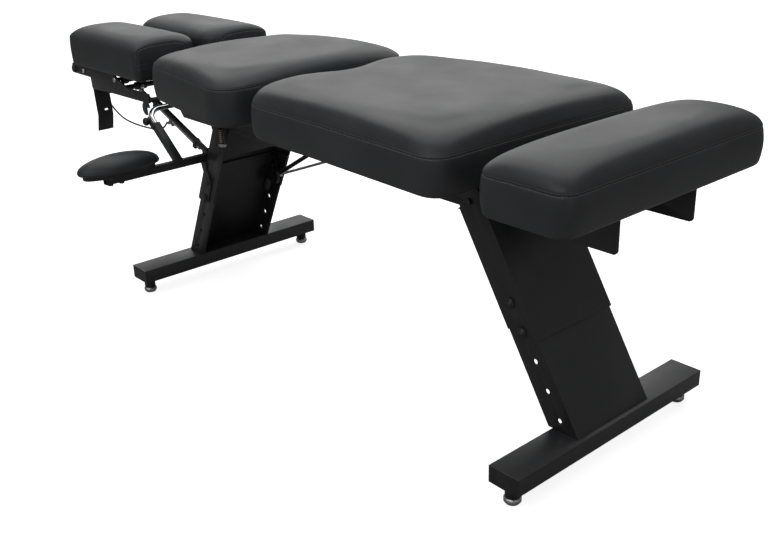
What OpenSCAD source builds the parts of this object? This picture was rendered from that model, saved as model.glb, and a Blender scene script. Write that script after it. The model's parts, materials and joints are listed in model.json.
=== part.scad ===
// Chiropractic table: two braced channel legs on wide base bars, twin rails, dropping chest and
// pelvic sections, a tilting head section with two sliding face cushions, and hanging armrests.
// Lengths in mm. X runs toward the foot end, -Y is the near side, Z is up from the floor.

/* [Base bars] */
// Length of each base bar, across the table
bar_l = 610; // [560:5:660]
// Width of a base bar, along the table
bar_w = 76.2; // [70:0.1:84]
// Height of a base bar
bar_h = 38.1; // [34:0.1:42]
// Wall of a base bar
bar_wall = 2.5; // [2:0.1:3.5]
// Distance between the two base bars
bar_span = 1440; // [1425:5:1455]
// Height of the bars' underside over the floor
foot_h = 42; // [38:1:46]
// Radius of a glide's disc
glide_r = 18; // [15:0.5:20]
// Thickness of a glide's disc
glide_t = 15; // [9:0.5:18]
// Radius of a glide's stud
stud_r = 5; // [4:0.5:6]
// Distance of a glide from the bar's end
glide_in = 25; // [20:1:30]
// Thickness of an end cap
cap_t = 3; // [2:0.5:4]

/* [Legs] */
// Slant of the foot leg from upright, in degrees
foot_slant = 31.5; // [30:0.5:33]
// Slant of the head leg from upright, in degrees
head_slant = 27; // [26:0.5:28]
// Distance from the table's middle to the leg's hole line on the bars
leg_x = 713; // [708:1:718]
// Outer width of a post across the table
post_w = 235; // [225:1:245]
// Depth of a post's flanges
post_d = 66; // [60:1:72]
// Wall of a post
post_t = 4; // [3:0.5:5]
// Height of a post's top over the floor
post_top_z = 372; // [360:1:390]
// Wall of a sleeve
sleeve_t = 3; // [2.5:0.5:4]
// Height of a sleeve's lower rim over the floor
sleeve_z = 265; // [255:1:275]
// Distance of the first leg hole from the bar, along the leg
hole_first = 27; // [24:1:32]
// Distance between leg holes
hole_pitch = 65; // [62:1:66]
// Radius of a leg hole
hole_r = 6; // [5.5:0.1:7]
// Number of leg holes
hole_n = 5;
// Radius of a leg bolt
bolt_r = 5.6; // [5:0.1:5.9]
// Height of the cross plate's lower edge over the floor
cross_plate_z = 417; // [405:1:430]
// Length of the ear that holds the rail
ear_size = 56; // [52:1:60]

/* [Rails] */
// Height of a rail's underside over the floor
rail_z = 500; // [490:1:505]
// Height of a rail
rail_h = 62; // [56:1:66]
// Flange width of a rail
rail_flange = 28; // [24:1:34]
// Wall of a rail
rail_t = 3; // [2.5:0.5:4]
// Reach of the rails toward the head
rail_head_x = 735; // [731:1:737]
// Reach of the rails toward the foot
rail_foot_x = 600; // [590:1:606]
// Length of the slanted cut at the rails' head end
rail_mitre = 37; // [32:1:40]
// Side of the square cross members
member_w = 30; // [26:1:32]
// Start of the foot plates along the table
foot_plate_x0 = 560; // [555:1:570]
// End of the foot plates along the table
foot_plate_x1 = 815; // [800:1:825]
// Thickness of the foot plates
foot_plate_t = 5; // [4:0.5:6]
// Corner radius of the foot plates
foot_plate_r = 9; // [6:1:14]

/* [Cushions] */
// Height of the body cushions' underside over the floor
bed_z = 582; // [580:1:586]
// Thickness of the boards
board_t = 12; // [10:0.5:13]
// Half width of the body cushions at their widest
bed_half = 300; // [295:1:304]
// Seam height of the foot and pelvic cushions over their underside
seam_h = 79; // [72:1:84]
// Seam height of the chest cushion over its underside
chest_seam_h = 96; // [90:1:100]
// Crown height of the foot cushion over its underside
foot_crown = 124; // [120:1:128]
// Crown height of the pelvic cushion over its underside
pelvic_crown = 128; // [124:1:132]
// Crown height of the chest cushion over its underside
chest_crown = 132; // [128:1:136]
// Height of a body cushion's edge roll over its underside
roll_top = 112; // [108:1:114]
// Inset of the boards from the cushion's edge
board_in = 18; // [16:1:22]
// Height of the face cushions' underside over the floor
face_z = 609; // [607:1:612]
// Seam height of the face cushions over their underside
face_seam_h = 88; // [82:1:90]
// Crown height of the face cushions over their underside
face_crown = 118; // [114:1:122]

/* [Head section] */
// Reach of the head plates toward the head
head_tip = 1211; // [1205:1:1216]
// Height of the top of the head plates over the floor
head_top_z = 608.7; // [606:0.1:608.8]
// Half width over the head plates
head_half = 205; // [202:1:208]
// Thickness of the head plates
head_plate_t = 5; // [4:0.5:6]
// Distance of the head's hinge axis from the table's middle
pivot_x = 748; // [746:1:750]
// Height of the head's hinge axis over the floor
pivot_z = 529; // [527:1:530]
// Radius of the bent brace tube
brace_r = 8; // [7:0.5:9]
// Bend radius of the brace tube
brace_bend = 40; // [36:1:44]
// Slope of the brace tube, in degrees
brace_slope = 38.4; // [37:0.2:39]
// Radius of the face guide rods
guide_r = 5; // [4:0.5:6]
// Radius of the face sliders' discs
face_disc_r = 16.5; // [15:0.5:16.8]

/* [Armrests] */
// Side of the armrest crossbar
arm_bar_w = 20; // [18:1:21]
// Distance of the crossbar from the table's middle
arm_x = 603.1; // [603.1:0.1:604]
// Height of the crossbar's centre over the floor
arm_z = 400; // [398:1:402]
// Half length of the crossbar
arm_half = 425; // [415:1:435]
// Gap between the brace tube's sockets and an armrest pad
arm_gap = 47; // [37:1:57]
// Width of an armrest pad, across the table
arm_w = 232; // [222:1:242]
// Length of an armrest pad, along the table
arm_l = 110; // [104:1:118]
// Crown height of an armrest pad over its underside
arm_crown = 41; // [38:1:44]

/* [Lock strut and drop gear] */
// Side of the strut's square bar
strut_w = 12; // [10:1:13]
// Radius of the strut's round rod
strut_r = 5; // [4:0.5:5.5]
// Place of the strut across the table
strut_y = 95; // [92:1:98]
// Radius of the tension spring
spring_r = 8; // [7:0.5:9]
// Radius of the release cable
cable_r = 2; // [1.5:0.5:2.5]
// Radius of the drop gear's knob
cock_knob_r = 23; // [20:0.5:23]
// Radius of the drop gear's grip
cock_grip_r = 12.5; // [11:0.5:14]

/* [Hidden] */
$fn = 48;
// overrun of a cut past a face
cut = 2;
// running clearance of a pin in its bore
run = 0.05;
// gap between the post and the sleeve that slides on it
slip = 0.3;
// gap between neighbours on different bodies
part_gap = 0.3;
// moves the model so that its origin is in the middle of its length
foot_end_x = 853;
frame_shift = (head_tip - foot_end_x) / 2;
bar_top = foot_h + bar_h;
half_post = post_w / 2;
sleeve_in = half_post + slip;
sleeve_out = sleeve_in + sleeve_t;
rail_top = rail_z + rail_h;
bar_x = bar_span / 2;
glide_y = bar_l / 2 - glide_in;
line_share = 0.46;
out_d = post_d * line_share;
in_d = post_d - out_d;
dark = [0.11, 0.11, 0.12];
steel = [0.75, 0.76, 0.78];
vinyl = [0.14, 0.14, 0.15];
wood = [0.12, 0.1, 0.09];
plastic = [0.06, 0.06, 0.065];

module placed() { translate([frame_shift, 0, 0]) children(); }
module both() { children(); mirror([0, 1, 0]) children(); }
module block(x0, x1, y0, y1, z0, z1) {
  translate([x0, y0, z0]) cube([x1 - x0, y1 - y0, z1 - z0]);
}
module rod_y(x, z, r, y0, y1) {
  translate([x, y0, z]) rotate([-90, 0, 0]) cylinder(r = r, h = y1 - y0);
}
module rod_z(x, y, r, z0, z1) { translate([x, y, z0]) cylinder(r = r, h = z1 - z0); }
// a drawing in X and Z, given thickness from y0 to y1
module slab(y0, y1) { translate([0, y1, 0]) rotate([90, 0, 0]) linear_extrude(y1 - y0) children(); }
module tube_y(x, z, w, t, y0, y1) {
  difference() {
    block(x - w / 2, x + w / 2, y0, y1, z - w / 2, z + w / 2);
    block(x - w / 2 + t, x + w / 2 - t, y0 - cut, y1 + cut, z - w / 2 + t, z + w / 2 - t);
  }
}

// base bars
module base_bar(x) {
  difference() {
    block(x - bar_w / 2, x + bar_w / 2, -bar_l / 2, bar_l / 2, foot_h, bar_top);
    block(x - bar_w / 2 + bar_wall, x + bar_w / 2 - bar_wall, -bar_l / 2 - cut, bar_l / 2 + cut,
      foot_h + bar_wall, bar_top - bar_wall);
    for (s = [-1, 1]) rod_z(x, s * glide_y, bush_r * 0.7 + run, foot_h - cut, foot_h + bar_wall + cut);
  }
}
module head_base_bar() { color(dark) placed() base_bar(-bar_x); }
module foot_base_bar() { color(dark) placed() base_bar(bar_x); }
module bar_end_caps() {
  color(plastic) placed() for (x = [-bar_x, bar_x]) both() {
    block(x - bar_w / 2, x + bar_w / 2, bar_l / 2, bar_l / 2 + cap_t, foot_h, bar_top);
    block(x - bar_w / 2 + bar_wall, x + bar_w / 2 - bar_wall, bar_l / 2 - 2 * cap_t, bar_l / 2,
      foot_h + bar_wall, bar_top - bar_wall);
  }
}
// a turned foot, wider toward its middle, on a threaded stud
foot_shares = [[0.78, 0], [1, 0.34], [1, 0.8], [0.86, 1]];
module glide(x, y) {
  color(steel) placed() {
    for (i = [0 : len(foot_shares) - 2]) translate([x, y, glide_t * foot_shares[i][1]])
      cylinder(r1 = glide_r * foot_shares[i][0], r2 = glide_r * foot_shares[i + 1][0],
        h = glide_t * (foot_shares[i + 1][1] - foot_shares[i][1]));
    rod_z(x, y, stud_r, glide_t, foot_h + bar_h / 2);
  }
}
// moulded bushes under the bars, in which the studs turn
bush_r = 15.5;
module glide_bushes() {
  color(plastic) placed() for (x = [-bar_x, bar_x], s = [-1, 1]) difference() {
    union() {
      rod_z(x, s * glide_y, bush_r, glide_t + part_gap, foot_h);
      rod_z(x, s * glide_y, bush_r * 0.7, foot_h, foot_h + bar_wall);
    }
    rod_z(x, s * glide_y, stud_r + run, glide_t, foot_h + bar_h);
  }
}
module near_head_glide() { glide(-bar_x, -glide_y); }
module far_head_glide() { glide(-bar_x, glide_y); }
module near_foot_glide() { glide(bar_x, -glide_y); }
module far_foot_glide() { glide(bar_x, glide_y); }

// legs: s is 1 for the foot leg and -1 for the head leg
function slant(s) = s > 0 ? foot_slant : head_slant;
function up(s) = [-s * sin(slant(s)), cos(slant(s))];
function leg_at(s, t) = [s * leg_x, bar_top] + t * up(s);
module leg_frame(s) { translate([s * leg_x, 0, bar_top]) rotate([0, -s * slant(s), 0]) children(); }
// the far reach of the leg shapes, before they are cut level
leg_reach = bar_span / 2;
module strip(s, out, inn) {
  translate([s * leg_x, bar_top]) rotate(s * slant(s)) translate([s > 0 ? -inn : -out, -leg_reach / 3])
    square([out + inn, leg_reach * 4 / 3]);
}
module level(z0, z1) { translate([-leg_reach * 2, z0]) square([leg_reach * 4, z1 - z0]); }
module post(s) {
  difference() {
    for (y = [-1, 1]) slab(y > 0 ? half_post - post_t : -half_post, y > 0 ? half_post : post_t - half_post)
      intersection() { strip(s, out_d, in_d); level(bar_top, post_top_z); }
    for (i = [0 : hole_n - 1]) let (p = leg_at(s, hole_first + i * hole_pitch))
      rod_y(p[0], p[1], hole_r, -half_post - cut, half_post + cut);
  }
  slab(-half_post + post_t, half_post - post_t)
    intersection() { strip(s, out_d, post_t - out_d); level(bar_top, post_top_z); }
}
module head_post() { color(dark) placed() post(-1); }
module foot_post() { color(dark) placed() post(1); }
// ears that hold the rails, as shares of the ear's size from the rail bolt
foot_ear_shares = [[-0.6, -0.42], [-0.46, -0.3], [-0.22, 0.22], [-0.12, 0.58], [0.05, 0.7],
  [0.3, 0.66], [0.52, 0.45], [0.62, -0.05], [0.8, -0.42]];
head_ear_shares = [[-0.94, -0.42], [-0.98, -0.2], [-0.98, 0.45], [-0.8, 0.66], [-0.5, 0.7],
  [-0.1, 0.68], [0.2, 0.6], [0.4, 0.3], [0.46, -0.1], [0.42, -0.42]];
function rail_bolt(s) = leg_at(s, (rail_z + rail_h / 4 - bar_top) / cos(slant(s)));
module sleeve_side(s) {
  intersection() { strip(s, out_d + slip + sleeve_t, in_d); level(sleeve_z, rail_z - ear_size * 0.1); }
  let (b = rail_bolt(s)) translate(b) polygon([for (p = s > 0 ? foot_ear_shares : head_ear_shares)
    [p[0], p[1]] * ear_size]);
}
module sleeve(s) {
  difference() {
    for (y = [-1, 1]) slab(y > 0 ? sleeve_in : -sleeve_out, y > 0 ? sleeve_out : -sleeve_in)
      sleeve_side(s);
    for (i = [hole_n - 2 : hole_n - 1]) let (p = leg_at(s, hole_first + i * hole_pitch))
      rod_y(p[0], p[1], bolt_r + run, -sleeve_out - cut, sleeve_out + cut);
    let (b = rail_bolt(s)) rod_y(b[0], b[1], small_r + run, -sleeve_out - cut, sleeve_out + cut);
  }
  slab(-sleeve_in, sleeve_in) intersection() {
    strip(s, out_d + slip + sleeve_t, -out_d - slip); level(sleeve_z, rail_z);
  }
}
module head_sleeve() { color(dark) placed() sleeve(-1); }
module foot_sleeve() { color(dark) placed() sleeve(1); }
module cross_plates() {
  color(dark) placed() for (s = [-1, 1]) slab(-sleeve_in, sleeve_in) intersection() {
    strip(s, -in_d + post_t, in_d); level(cross_plate_z, rail_z);
  }
}
small_r = 4;
bolt_head = 5.5;
module hex_y(x, z, r, y0, y1) {
  translate([x, y0, z]) rotate([-90, 0, 0]) cylinder(r = r, h = y1 - y0, $fn = 6);
}
washer_t = 1.5;
module leg_bolts() {
  color(steel) placed() for (s = [-1, 1]) for (i = [hole_n - 2 : hole_n - 1])
    let (p = leg_at(s, hole_first + i * hole_pitch), o = s < 0 ? sleeve_out + strap_t : sleeve_out) both() {
      rod_y(p[0], p[1], bolt_r, half_post - post_t - bolt_head, o + washer_t);
      rod_y(p[0], p[1], bolt_r * 2.1, o, o + washer_t);
      hex_y(p[0], p[1], bolt_r * 1.7, o + washer_t, o + washer_t + bolt_head);
      hex_y(p[0], p[1], bolt_r * 1.7, half_post - post_t - bolt_head, half_post - post_t);
    }
}
// bolts that hold the rails, the foot plates and the armrests, and the pins of the drop frames
foot_bolt_x = [575, 592];
module small_bolt_y(x, z, y_in, y_out) {
  rod_y(x, z, small_r, y_in - bolt_head, y_out);
  hex_y(x, z, small_r * 1.75, y_out, y_out + bolt_head * 0.8);
  hex_y(x, z, small_r * 1.75, y_in - bolt_head, y_in);
}
module rail_bolts() {
  color(steel) placed() {
    for (s = [-1, 1]) let (b = rail_bolt(s)) both()
      small_bolt_y(b[0], b[1], sleeve_in - rail_t, sleeve_out);
    for (x = foot_bolt_x) both()
      small_bolt_y(x, rail_z + rail_h / 2, sleeve_in - rail_t, sleeve_in + foot_plate_t);
    for (x = [chest_hinge_x, pelvic_hinge_x])
      rod_y(x, drop_hinge_z, pin_r, -sleeve_in + rail_t, sleeve_in - rail_t);
    for (x = [-arm_x, arm_bolt_x]) for (y = arm_bolt_y) both()
      let (z = x < arm_bolt_x ? arm_z - arm_bar_w / 2 : arm_z + arm_bar_w / 2) {
        rod_z(x, y, small_r, z - bolt_head, arm_board_z + board_t / 2);
        translate([x, y, z - bolt_head]) cylinder(r = small_r * 1.75, h = bolt_head, $fn = 6);
      }
  }
}

// rails
module rail_outline() {
  difference() {
    polygon([[-rail_head_x, rail_top], [-rail_head_x, rail_top - rail_h * 0.36],
      [-rail_head_x + rail_mitre * 0.42, rail_top - rail_h * 0.58],
      [-rail_head_x + rail_mitre, rail_z], [rail_foot_x, rail_z], [rail_foot_x, rail_top]]);
    for (s = [-1, 1]) translate(rail_bolt(s)) circle(r = small_r + run);
    for (x = foot_bolt_x) translate([x, rail_z + rail_h / 2]) circle(r = small_r + run);
  }
}
module rails() {
  color(dark) placed() both() {
    slab(sleeve_in - rail_t, sleeve_in) rail_outline();
    slab(sleeve_in - rail_flange, sleeve_in - rail_t) intersection() {
      rail_outline();
      union() {
        level(rail_z, rail_z + rail_t);
        level(rail_top - rail_t, rail_top);
      }
    }
  }
}
member_z = rail_z + rail_t + member_w / 2;
member_xs = [-650, -165, 540];
module cross_members() {
  color(dark) placed() for (x = member_xs)
    tube_y(x, member_z, member_w, rail_t, -sleeve_in + rail_t, sleeve_in - rail_t);
}
module foot_plates() {
  color(dark) placed() both() slab(sleeve_in, sleeve_in + foot_plate_t) difference() {
    union() {
      polygon([[foot_plate_x0, rail_z + foot_plate_r], [foot_plate_x0 + foot_plate_r, rail_z],
        [foot_plate_x1 - foot_plate_r, rail_z], [foot_plate_x1, rail_z + foot_plate_r],
        [foot_plate_x1, bed_z], [foot_plate_x0, bed_z]]);
      translate([foot_plate_x1 - foot_plate_r, rail_z + foot_plate_r]) circle(r = foot_plate_r);
    }
    for (x = foot_bolt_x) translate([x, rail_z + rail_h / 2]) circle(r = small_r + run);
  }
}

// cushions: the plan is a list of corners [x, y, radius], counterclockwise from above
function unit(v) = v / norm(v);
function pick(l, i) = l[(i + len(l)) % len(l)];
function arc(a, c, b, n) = let (
    d1 = unit([c[0] - a[0], c[1] - a[1]]), d2 = unit([b[0] - c[0], b[1] - c[1]]),
    n1 = [d1[1], -d1[0]], n2 = [d2[1], -d2[0]], s = sign(cross(d1, d2)),
    o = [c[0], c[1]] - s * c[2] * (n1 + n2) / (1 + n1 * n2),
    a1 = atan2(n1[1], n1[0]), a2 = atan2(n2[1], n2[0]), da = ((a2 - a1 + 540) % 360) - 180)
  [for (i = [0 : n]) let (q = a1 + da * i / n)
    [o[0] + s * c[2] * cos(q), o[1] + s * c[2] * sin(q), cos(q), sin(q)]];
function rim(cs, n) = [for (i = [0 : len(cs) - 1]) each arc(pick(cs, i - 1), cs[i], pick(cs, i + 1), n)];
function inset(rm, d) = [for (p = rm) [p[0] - d * p[2], p[1] - d * p[3]]];
function near_spine(p, sp) = [max(sp[0], min(sp[1], p[0])), sp[2]];
function toward(ps, sp, f) = [for (p = ps) p * (1 - f) + near_spine(p, sp) * f];
function at_z(ps, z) = [for (p = ps) [p[0], p[1], z]];
crown_shares = [0.3, 0.6, 0.85];
function middle(ps) = [for (i = [1 : len(ps)]) 1] * ps / len(ps);
module stack(rings) {
  n = len(rings[0]);
  m = len(rings);
  polyhedron(points = concat([for (r = rings) each r], [middle(rings[0]), middle(rings[m - 1])]),
    faces = concat([for (i = [0 : n - 1]) [i, (i + 1) % n, m * n]],
      [for (k = [0 : m - 2]) for (i = [0 : n - 1]) let (j = (i + 1) % n)
        each [[k * n + i, k * n + n + i, k * n + j], [k * n + j, k * n + n + i, k * n + n + j]]],
      [for (i = [0 : n - 1]) [(m - 1) * n + (i + 1) % n, (m - 1) * n + i, m * n + 1]]));
}
// roll is how far the top edge is rounded in, spine is [x0, x1, y] of the crown's ridge
module cushion(cs, n, z0, seam, edge, crown, roll, inn, spine) {
  rm = rim(cs, n);
  top = inset(rm, roll);
  stack(concat([at_z(inset(rm, inn), z0 + board_t), at_z(inset(rm, inn), z0),
    at_z(inset(rm, roll * 0.3), z0), at_z(inset(rm, roll * 0.07), z0 + seam * 0.12),
    at_z(inset(rm, 0), z0 + seam * 0.35), at_z(inset(rm, roll * 0.05), z0 + seam * 0.7),
    at_z(inset(rm, 0), z0 + seam), at_z(inset(rm, roll * 0.12), z0 + seam + (edge - seam) * 0.45),
    at_z(inset(rm, roll * 0.42), z0 + seam + (edge - seam) * 0.82), at_z(top, z0 + edge)],
    [for (f = crown_shares) at_z(toward(top, spine, f),
      z0 + edge + (crown - edge) * (1 - pow(1 - f, 2)) / (1 - pow(1 - 0.85, 2)))]));
}
module board(cs, n, inn, z0) {
  translate([0, 0, z0]) linear_extrude(board_t) polygon(inset(rim(cs, n), inn));
}
foot_x0 = 639;
foot_r = 30;
foot_plan = [[foot_x0, -bed_half, foot_r], [foot_end_x, -bed_half, foot_r],
  [foot_end_x, bed_half, foot_r], [foot_x0, bed_half, foot_r]];
foot_roll = 24;
bed_roll = 34;
module foot_cushion() {
  color(vinyl) placed() cushion(foot_plan, 6, bed_z, seam_h, roll_top, foot_crown, foot_roll,
    board_in, [foot_x0 + foot_r * 3, foot_end_x - foot_r * 3, 0]);
}
module foot_board() { color(wood) placed() board(foot_plan, 6, board_in, bed_z); }
pelvic_x0 = -150;
pelvic_x1 = 553;
pelvic_half0 = 287;
pelvic_r0 = 95;
pelvic_r1 = 45;
waist_y = 120;
waist_x = -85;
waist_r = 100;
pelvic_plan = [[pelvic_x0, -pelvic_half0, pelvic_r0], [pelvic_x1, -bed_half, pelvic_r1],
  [pelvic_x1, bed_half, pelvic_r1], [pelvic_x0, pelvic_half0, pelvic_r0],
  [pelvic_x0, waist_y, waist_r], [waist_x, 0, waist_r], [pelvic_x0, -waist_y, waist_r]];
module pelvic_cushion() {
  color(vinyl) placed() cushion(pelvic_plan, 5, bed_z, seam_h, roll_top + 3 * part_gap, pelvic_crown,
    bed_roll, board_in, [pelvic_x0 + bed_half * 0.8, pelvic_x1 - bed_half * 0.8, 0]);
}
module pelvic_board() { color(wood) placed() board(pelvic_plan, 5, board_in, bed_z); }
chest_x0 = -655;
chest_x1 = -180;
chest_half0 = 228;
chest_half1 = 284;
chest_mid_x = -274;
chest_r0 = 50;
chest_r1 = 60;
chest_roll = 30;
chest_plan = [[chest_x0, -chest_half0, chest_r0], [chest_mid_x, -chest_half1, bed_half],
  [chest_x1, -bed_half, chest_r1], [chest_x1, bed_half, chest_r1],
  [chest_mid_x, chest_half1, bed_half], [chest_x0, chest_half0, chest_r0]];
module chest_cushion() {
  color(vinyl) placed() cushion(chest_plan, 5, bed_z, chest_seam_h, roll_top + 5 * part_gap,
    chest_crown, chest_roll, board_in, [chest_x0 + chest_half0 * 0.8, chest_x1 - chest_half0 * 0.8, 0]);
}
module chest_board() { color(wood) placed() board(chest_plan, 5, board_in, bed_z); }

// drop frames under the chest and pelvic boards
drop_y = 72;
drop_w = 16;
drop_top = bed_z;
chest_hinge_x = -625;
pelvic_hinge_x = 505;
drop_hinge_z = rail_top - rail_t - drop_w / 2 - part_gap;
pin_r = 5;
// ends of the frames and places of their cross bars
hinge_end = 15;
frame_gap = 3;
chest_f0 = chest_hinge_x - hinge_end;
chest_f1 = member_xs[1] - frame_gap;
chest_cross = [-560, -380];
pelvic_f0 = member_xs[1] + frame_gap;
pelvic_f1 = pelvic_hinge_x + hinge_end;
pelvic_cross = [150, 420];
lug_t = 6;
module drop_frame(x0, x1, hinge_x, ends) {
  difference() {
    union() {
      both() block(x0, x1, drop_y - drop_w, drop_y, drop_top - drop_w, drop_top);
      for (x = ends) block(x - drop_w / 2, x + drop_w / 2, drop_w - drop_y, drop_y - drop_w,
        drop_top - drop_w, drop_top);
      both() block(hinge_x - drop_w / 2, hinge_x + drop_w / 2, drop_y - drop_w, drop_y,
        drop_hinge_z - drop_w / 2, drop_top - drop_w / 2);
    }
    rod_y(hinge_x, drop_hinge_z, pin_r + run, -drop_y - cut, drop_y + cut);
  }
}
tab_x = -472;
tab_y = 134;
tab_w = 19;
tab_z = 508;
tens_r = 3;
rod_play = 2;
spring_z0 = 468;
nut_z = 459;
module chest_frame() {
  color(dark) placed() {
    drop_frame(chest_f0, chest_f1, chest_hinge_x, concat(chest_cross, [chest_f1 - drop_w / 2]));
    // outrigger over the rail, with the tension rod
    block(tab_x - tab_w / 2, tab_x + tab_w / 2, -tab_y - tab_w / 2, drop_w - drop_y,
      bed_z - drop_w / 2, bed_z);
    rod_z(tab_x, -tab_y, tens_r, nut_z - spring_r, bed_z - drop_w / 2);
    drop_lug(chest_lug);
  }
}
// a plate with a window, in which the pin of a link is free to move
module drop_lug(c) {
  block(c[0] - lug_in, c[0] + lug_out, drop_y - cut, lug_y1, bed_z - drop_w, bed_z);
  slab(lug_y0, lug_y1) difference() {
    translate([c[0] - lug_in, c[1] - lug_in]) square([lug_in + lug_out, bed_z - c[1] + lug_in]);
    translate([c[0] - win_in, c[1] - win_in]) square([win_in + win_x, win_in + win_z]);
  }
}
module pelvic_frame() {
  color(dark) placed() {
    drop_frame(pelvic_f0, pelvic_f1, pelvic_hinge_x, concat([pelvic_f0 + drop_w / 2], pelvic_cross));
    drop_lug(pelvic_lug);
  }
}
lug_y0 = 80;
lug_y1 = 86;
lug_in = 14;
lug_out = 26;
win_in = 7;
win_x = 18;
win_z = 29;
// rubber stops on the cross member
bumper_r = 9;
bumper_x = 10;
bumper_y = 40;
chest_gap = 12.5;
pelvic_gap = 15.6;
module drop_bumpers() {
  color(plastic) placed() both() {
    rod_z(member_xs[1] - bumper_x, bumper_y, bumper_r / 2, member_z + member_w / 2,
      bed_z - drop_w - chest_gap);
    rod_z(member_xs[1] + bumper_x, bumper_y, bumper_r / 2, member_z + member_w / 2,
      bed_z - drop_w - pelvic_gap);
  }
}

// tension spring and its wing nut, near side
function helix(r, turns, z0, z1, n) = [for (i = [0 : n]) let (q = i / n)
  [r * cos(360 * turns * q), r * sin(360 * turns * q), z0 + (z1 - z0) * q]];
module coil(r, w, turns, z0, z1) {
  n = turns * 12;
  c = helix(r, turns, z0, z1, n);
  rings = [for (i = [0 : n]) let (p = c[i], q = 360 * turns * i / n, o = [cos(q), sin(q), 0])
    [for (k = [0 : 5]) p + w * (cos(60 * k) * o + sin(60 * k) * [0, 0, 1])]];
  stack(rings);
}
coil_turns = 7;
wire_r = 1.4;
// tab on the head sleeve that the tension spring bears on
module spring_tab() {
  color(dark) placed() difference() {
    block(tab_x - tab_w / 2, tab_x + tab_w / 2, -tab_y - tab_w / 2, -sleeve_out, tab_z, tab_z + sleeve_t);
    rod_z(tab_x, -tab_y, tens_r + rod_play, tab_z - cut, tab_z + sleeve_t + cut);
  }
}
module chest_spring() {
  color(steel) placed() translate([tab_x, -tab_y, 0]) {
    coil(spring_r - wire_r, wire_r, coil_turns, spring_z0 + wire_r, tab_z - wire_r);
  }
}
module chest_wing_nut() {
  color(steel) placed() translate([tab_x, -tab_y, 0]) difference() {
    union() {
      translate([0, 0, nut_z]) cylinder(r = spring_r * 0.8, h = spring_z0 - nut_z - washer_t);
      translate([0, 0, spring_z0 - washer_t]) cylinder(r = spring_r, h = washer_t);
      for (q = [0, 180]) rotate([0, 0, q + 35]) slab(-washer_t, washer_t)
        polygon([for (p = wing_shares) [p[0] * wing_l, nut_z + p[1] * wing_l]]);
    }
    translate([0, 0, nut_z - cut]) cylinder(r = tens_r + run, h = spring_r * 3);
  }
}
wing_l = 12;
wing_shares = [[0.22, 0], [0.6, -0.08], [0.95, 0.3], [1, 0.55], [0.85, 0.6], [0.55, 0.5], [0.22, 0.5]];

// head section
head_l = 484;
head_h = 66.7;
head_shares = [[0, 0.36], [0.0165, 0.475], [0.252, 0.475], [0.258, 0.94], [0.2686, 1],
  [0.514, 0.925], [0.932, 0.88], [1, 0.865], [1, 0.47], [0.742, 0.475], [0.628, 0.22],
  [0.574, 0], [0.023, 0], [0.008, 0.04], [0, 0.16]];
guide_z = 592;
guide_xs = [-922, -1130];
front_x = -1195;
front_z = 590;
front_r = 11;
strut_x = -985;
strut_z = 549;
ear_r = 20;
hinge_bar_x0 = -772;
hinge_bar_x1 = -740;
hinge_rise = 21;
hinge_bar_z = pivot_z + hinge_rise;
hinge_bar_t = 6;
knuckle_y0 = 70;
knuckle_y1 = 100;
knuckle_r = 14;
module head_plates() {
  color(dark) placed() both() slab(head_half - head_plate_t, head_half) difference() {
    union() {
      polygon([for (p = head_shares) [p[0] * head_l - head_tip, head_top_z - p[1] * head_h]]);
      difference() {
        translate([-pivot_x - guide_r * 0.8, pivot_z + guide_r * 0.8]) circle(r = ear_r);
        translate([-guide_r * 0.4 - pivot_x, pivot_z + brace_r - ear_r * 3]) square(ear_r * 3);
      }
    }
    for (x = guide_xs) translate([x, guide_z]) circle(r = guide_r);
  }
}
module head_cross_tubes() {
  inner = head_half - head_plate_t;
  color(dark) placed() {
    difference() {
      rod_y(front_x, front_z, front_r, -inner, inner);
      rod_y(front_x, front_z, front_r - rail_t, -inner - cut, inner + cut);
    }
    both() rod_y(front_x, front_z, front_r, head_half, head_half + head_plate_t);
    rod_y(strut_x, strut_z, brace_r, -inner, inner);
    // collars beside the lock strut
    for (y = [-strut_y - strut_w * 1.4, -strut_y + strut_w * 0.6])
      rod_y(strut_x, strut_z, brace_r * 1.5, y, y + strut_w * 0.8);
    // flat bar and knuckles of the tilt hinge
    block(hinge_bar_x0, hinge_bar_x1, -inner, inner, hinge_bar_z, hinge_bar_z + hinge_bar_t);
    both() difference() {
      union() {
        rod_y(-pivot_x, pivot_z, knuckle_r, knuckle_y0, knuckle_y1);
        block(-pivot_x - knuckle_r, knuckle_r - pivot_x, knuckle_y0, knuckle_y1, pivot_z, hinge_bar_z);
      }
      rod_y(-pivot_x, pivot_z, brace_r + run, knuckle_y0 - cut, knuckle_y1 + cut);
    }
    // lug of the release lever
    for (y = [-lever_y - lever_t * 2, -lever_y + lever_t]) slab(y, y + lever_t) difference() {
      bar2([front_x, front_z], lever_pivot, lug_t * 1.5);
      translate([front_x, front_z]) circle(r = front_r - rail_t / 2);
      translate(lever_pivot) circle(r = lever_pin_r + run);
    }
    // stop of the cable's sheath
    for (y = [-lever_y - lever_t * 2, -lever_y + lever_t]) slab(y, y + lever_t) difference() {
      bar2(lever_pivot, stop_at, lever_t * 0.9, $fn = 12);
      translate(lever_pivot) circle(r = lever_pin_r + run);
    }
    block(stop_at[0] - lever_t * 1.3, stop_at[0] + lever_t * 1.3, -lever_y - lever_t * 2,
      -lever_y + lever_t * 2, stop_at[1] - lever_t, stop_at[1] + lever_t * 0.3);
  }
}
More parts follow.
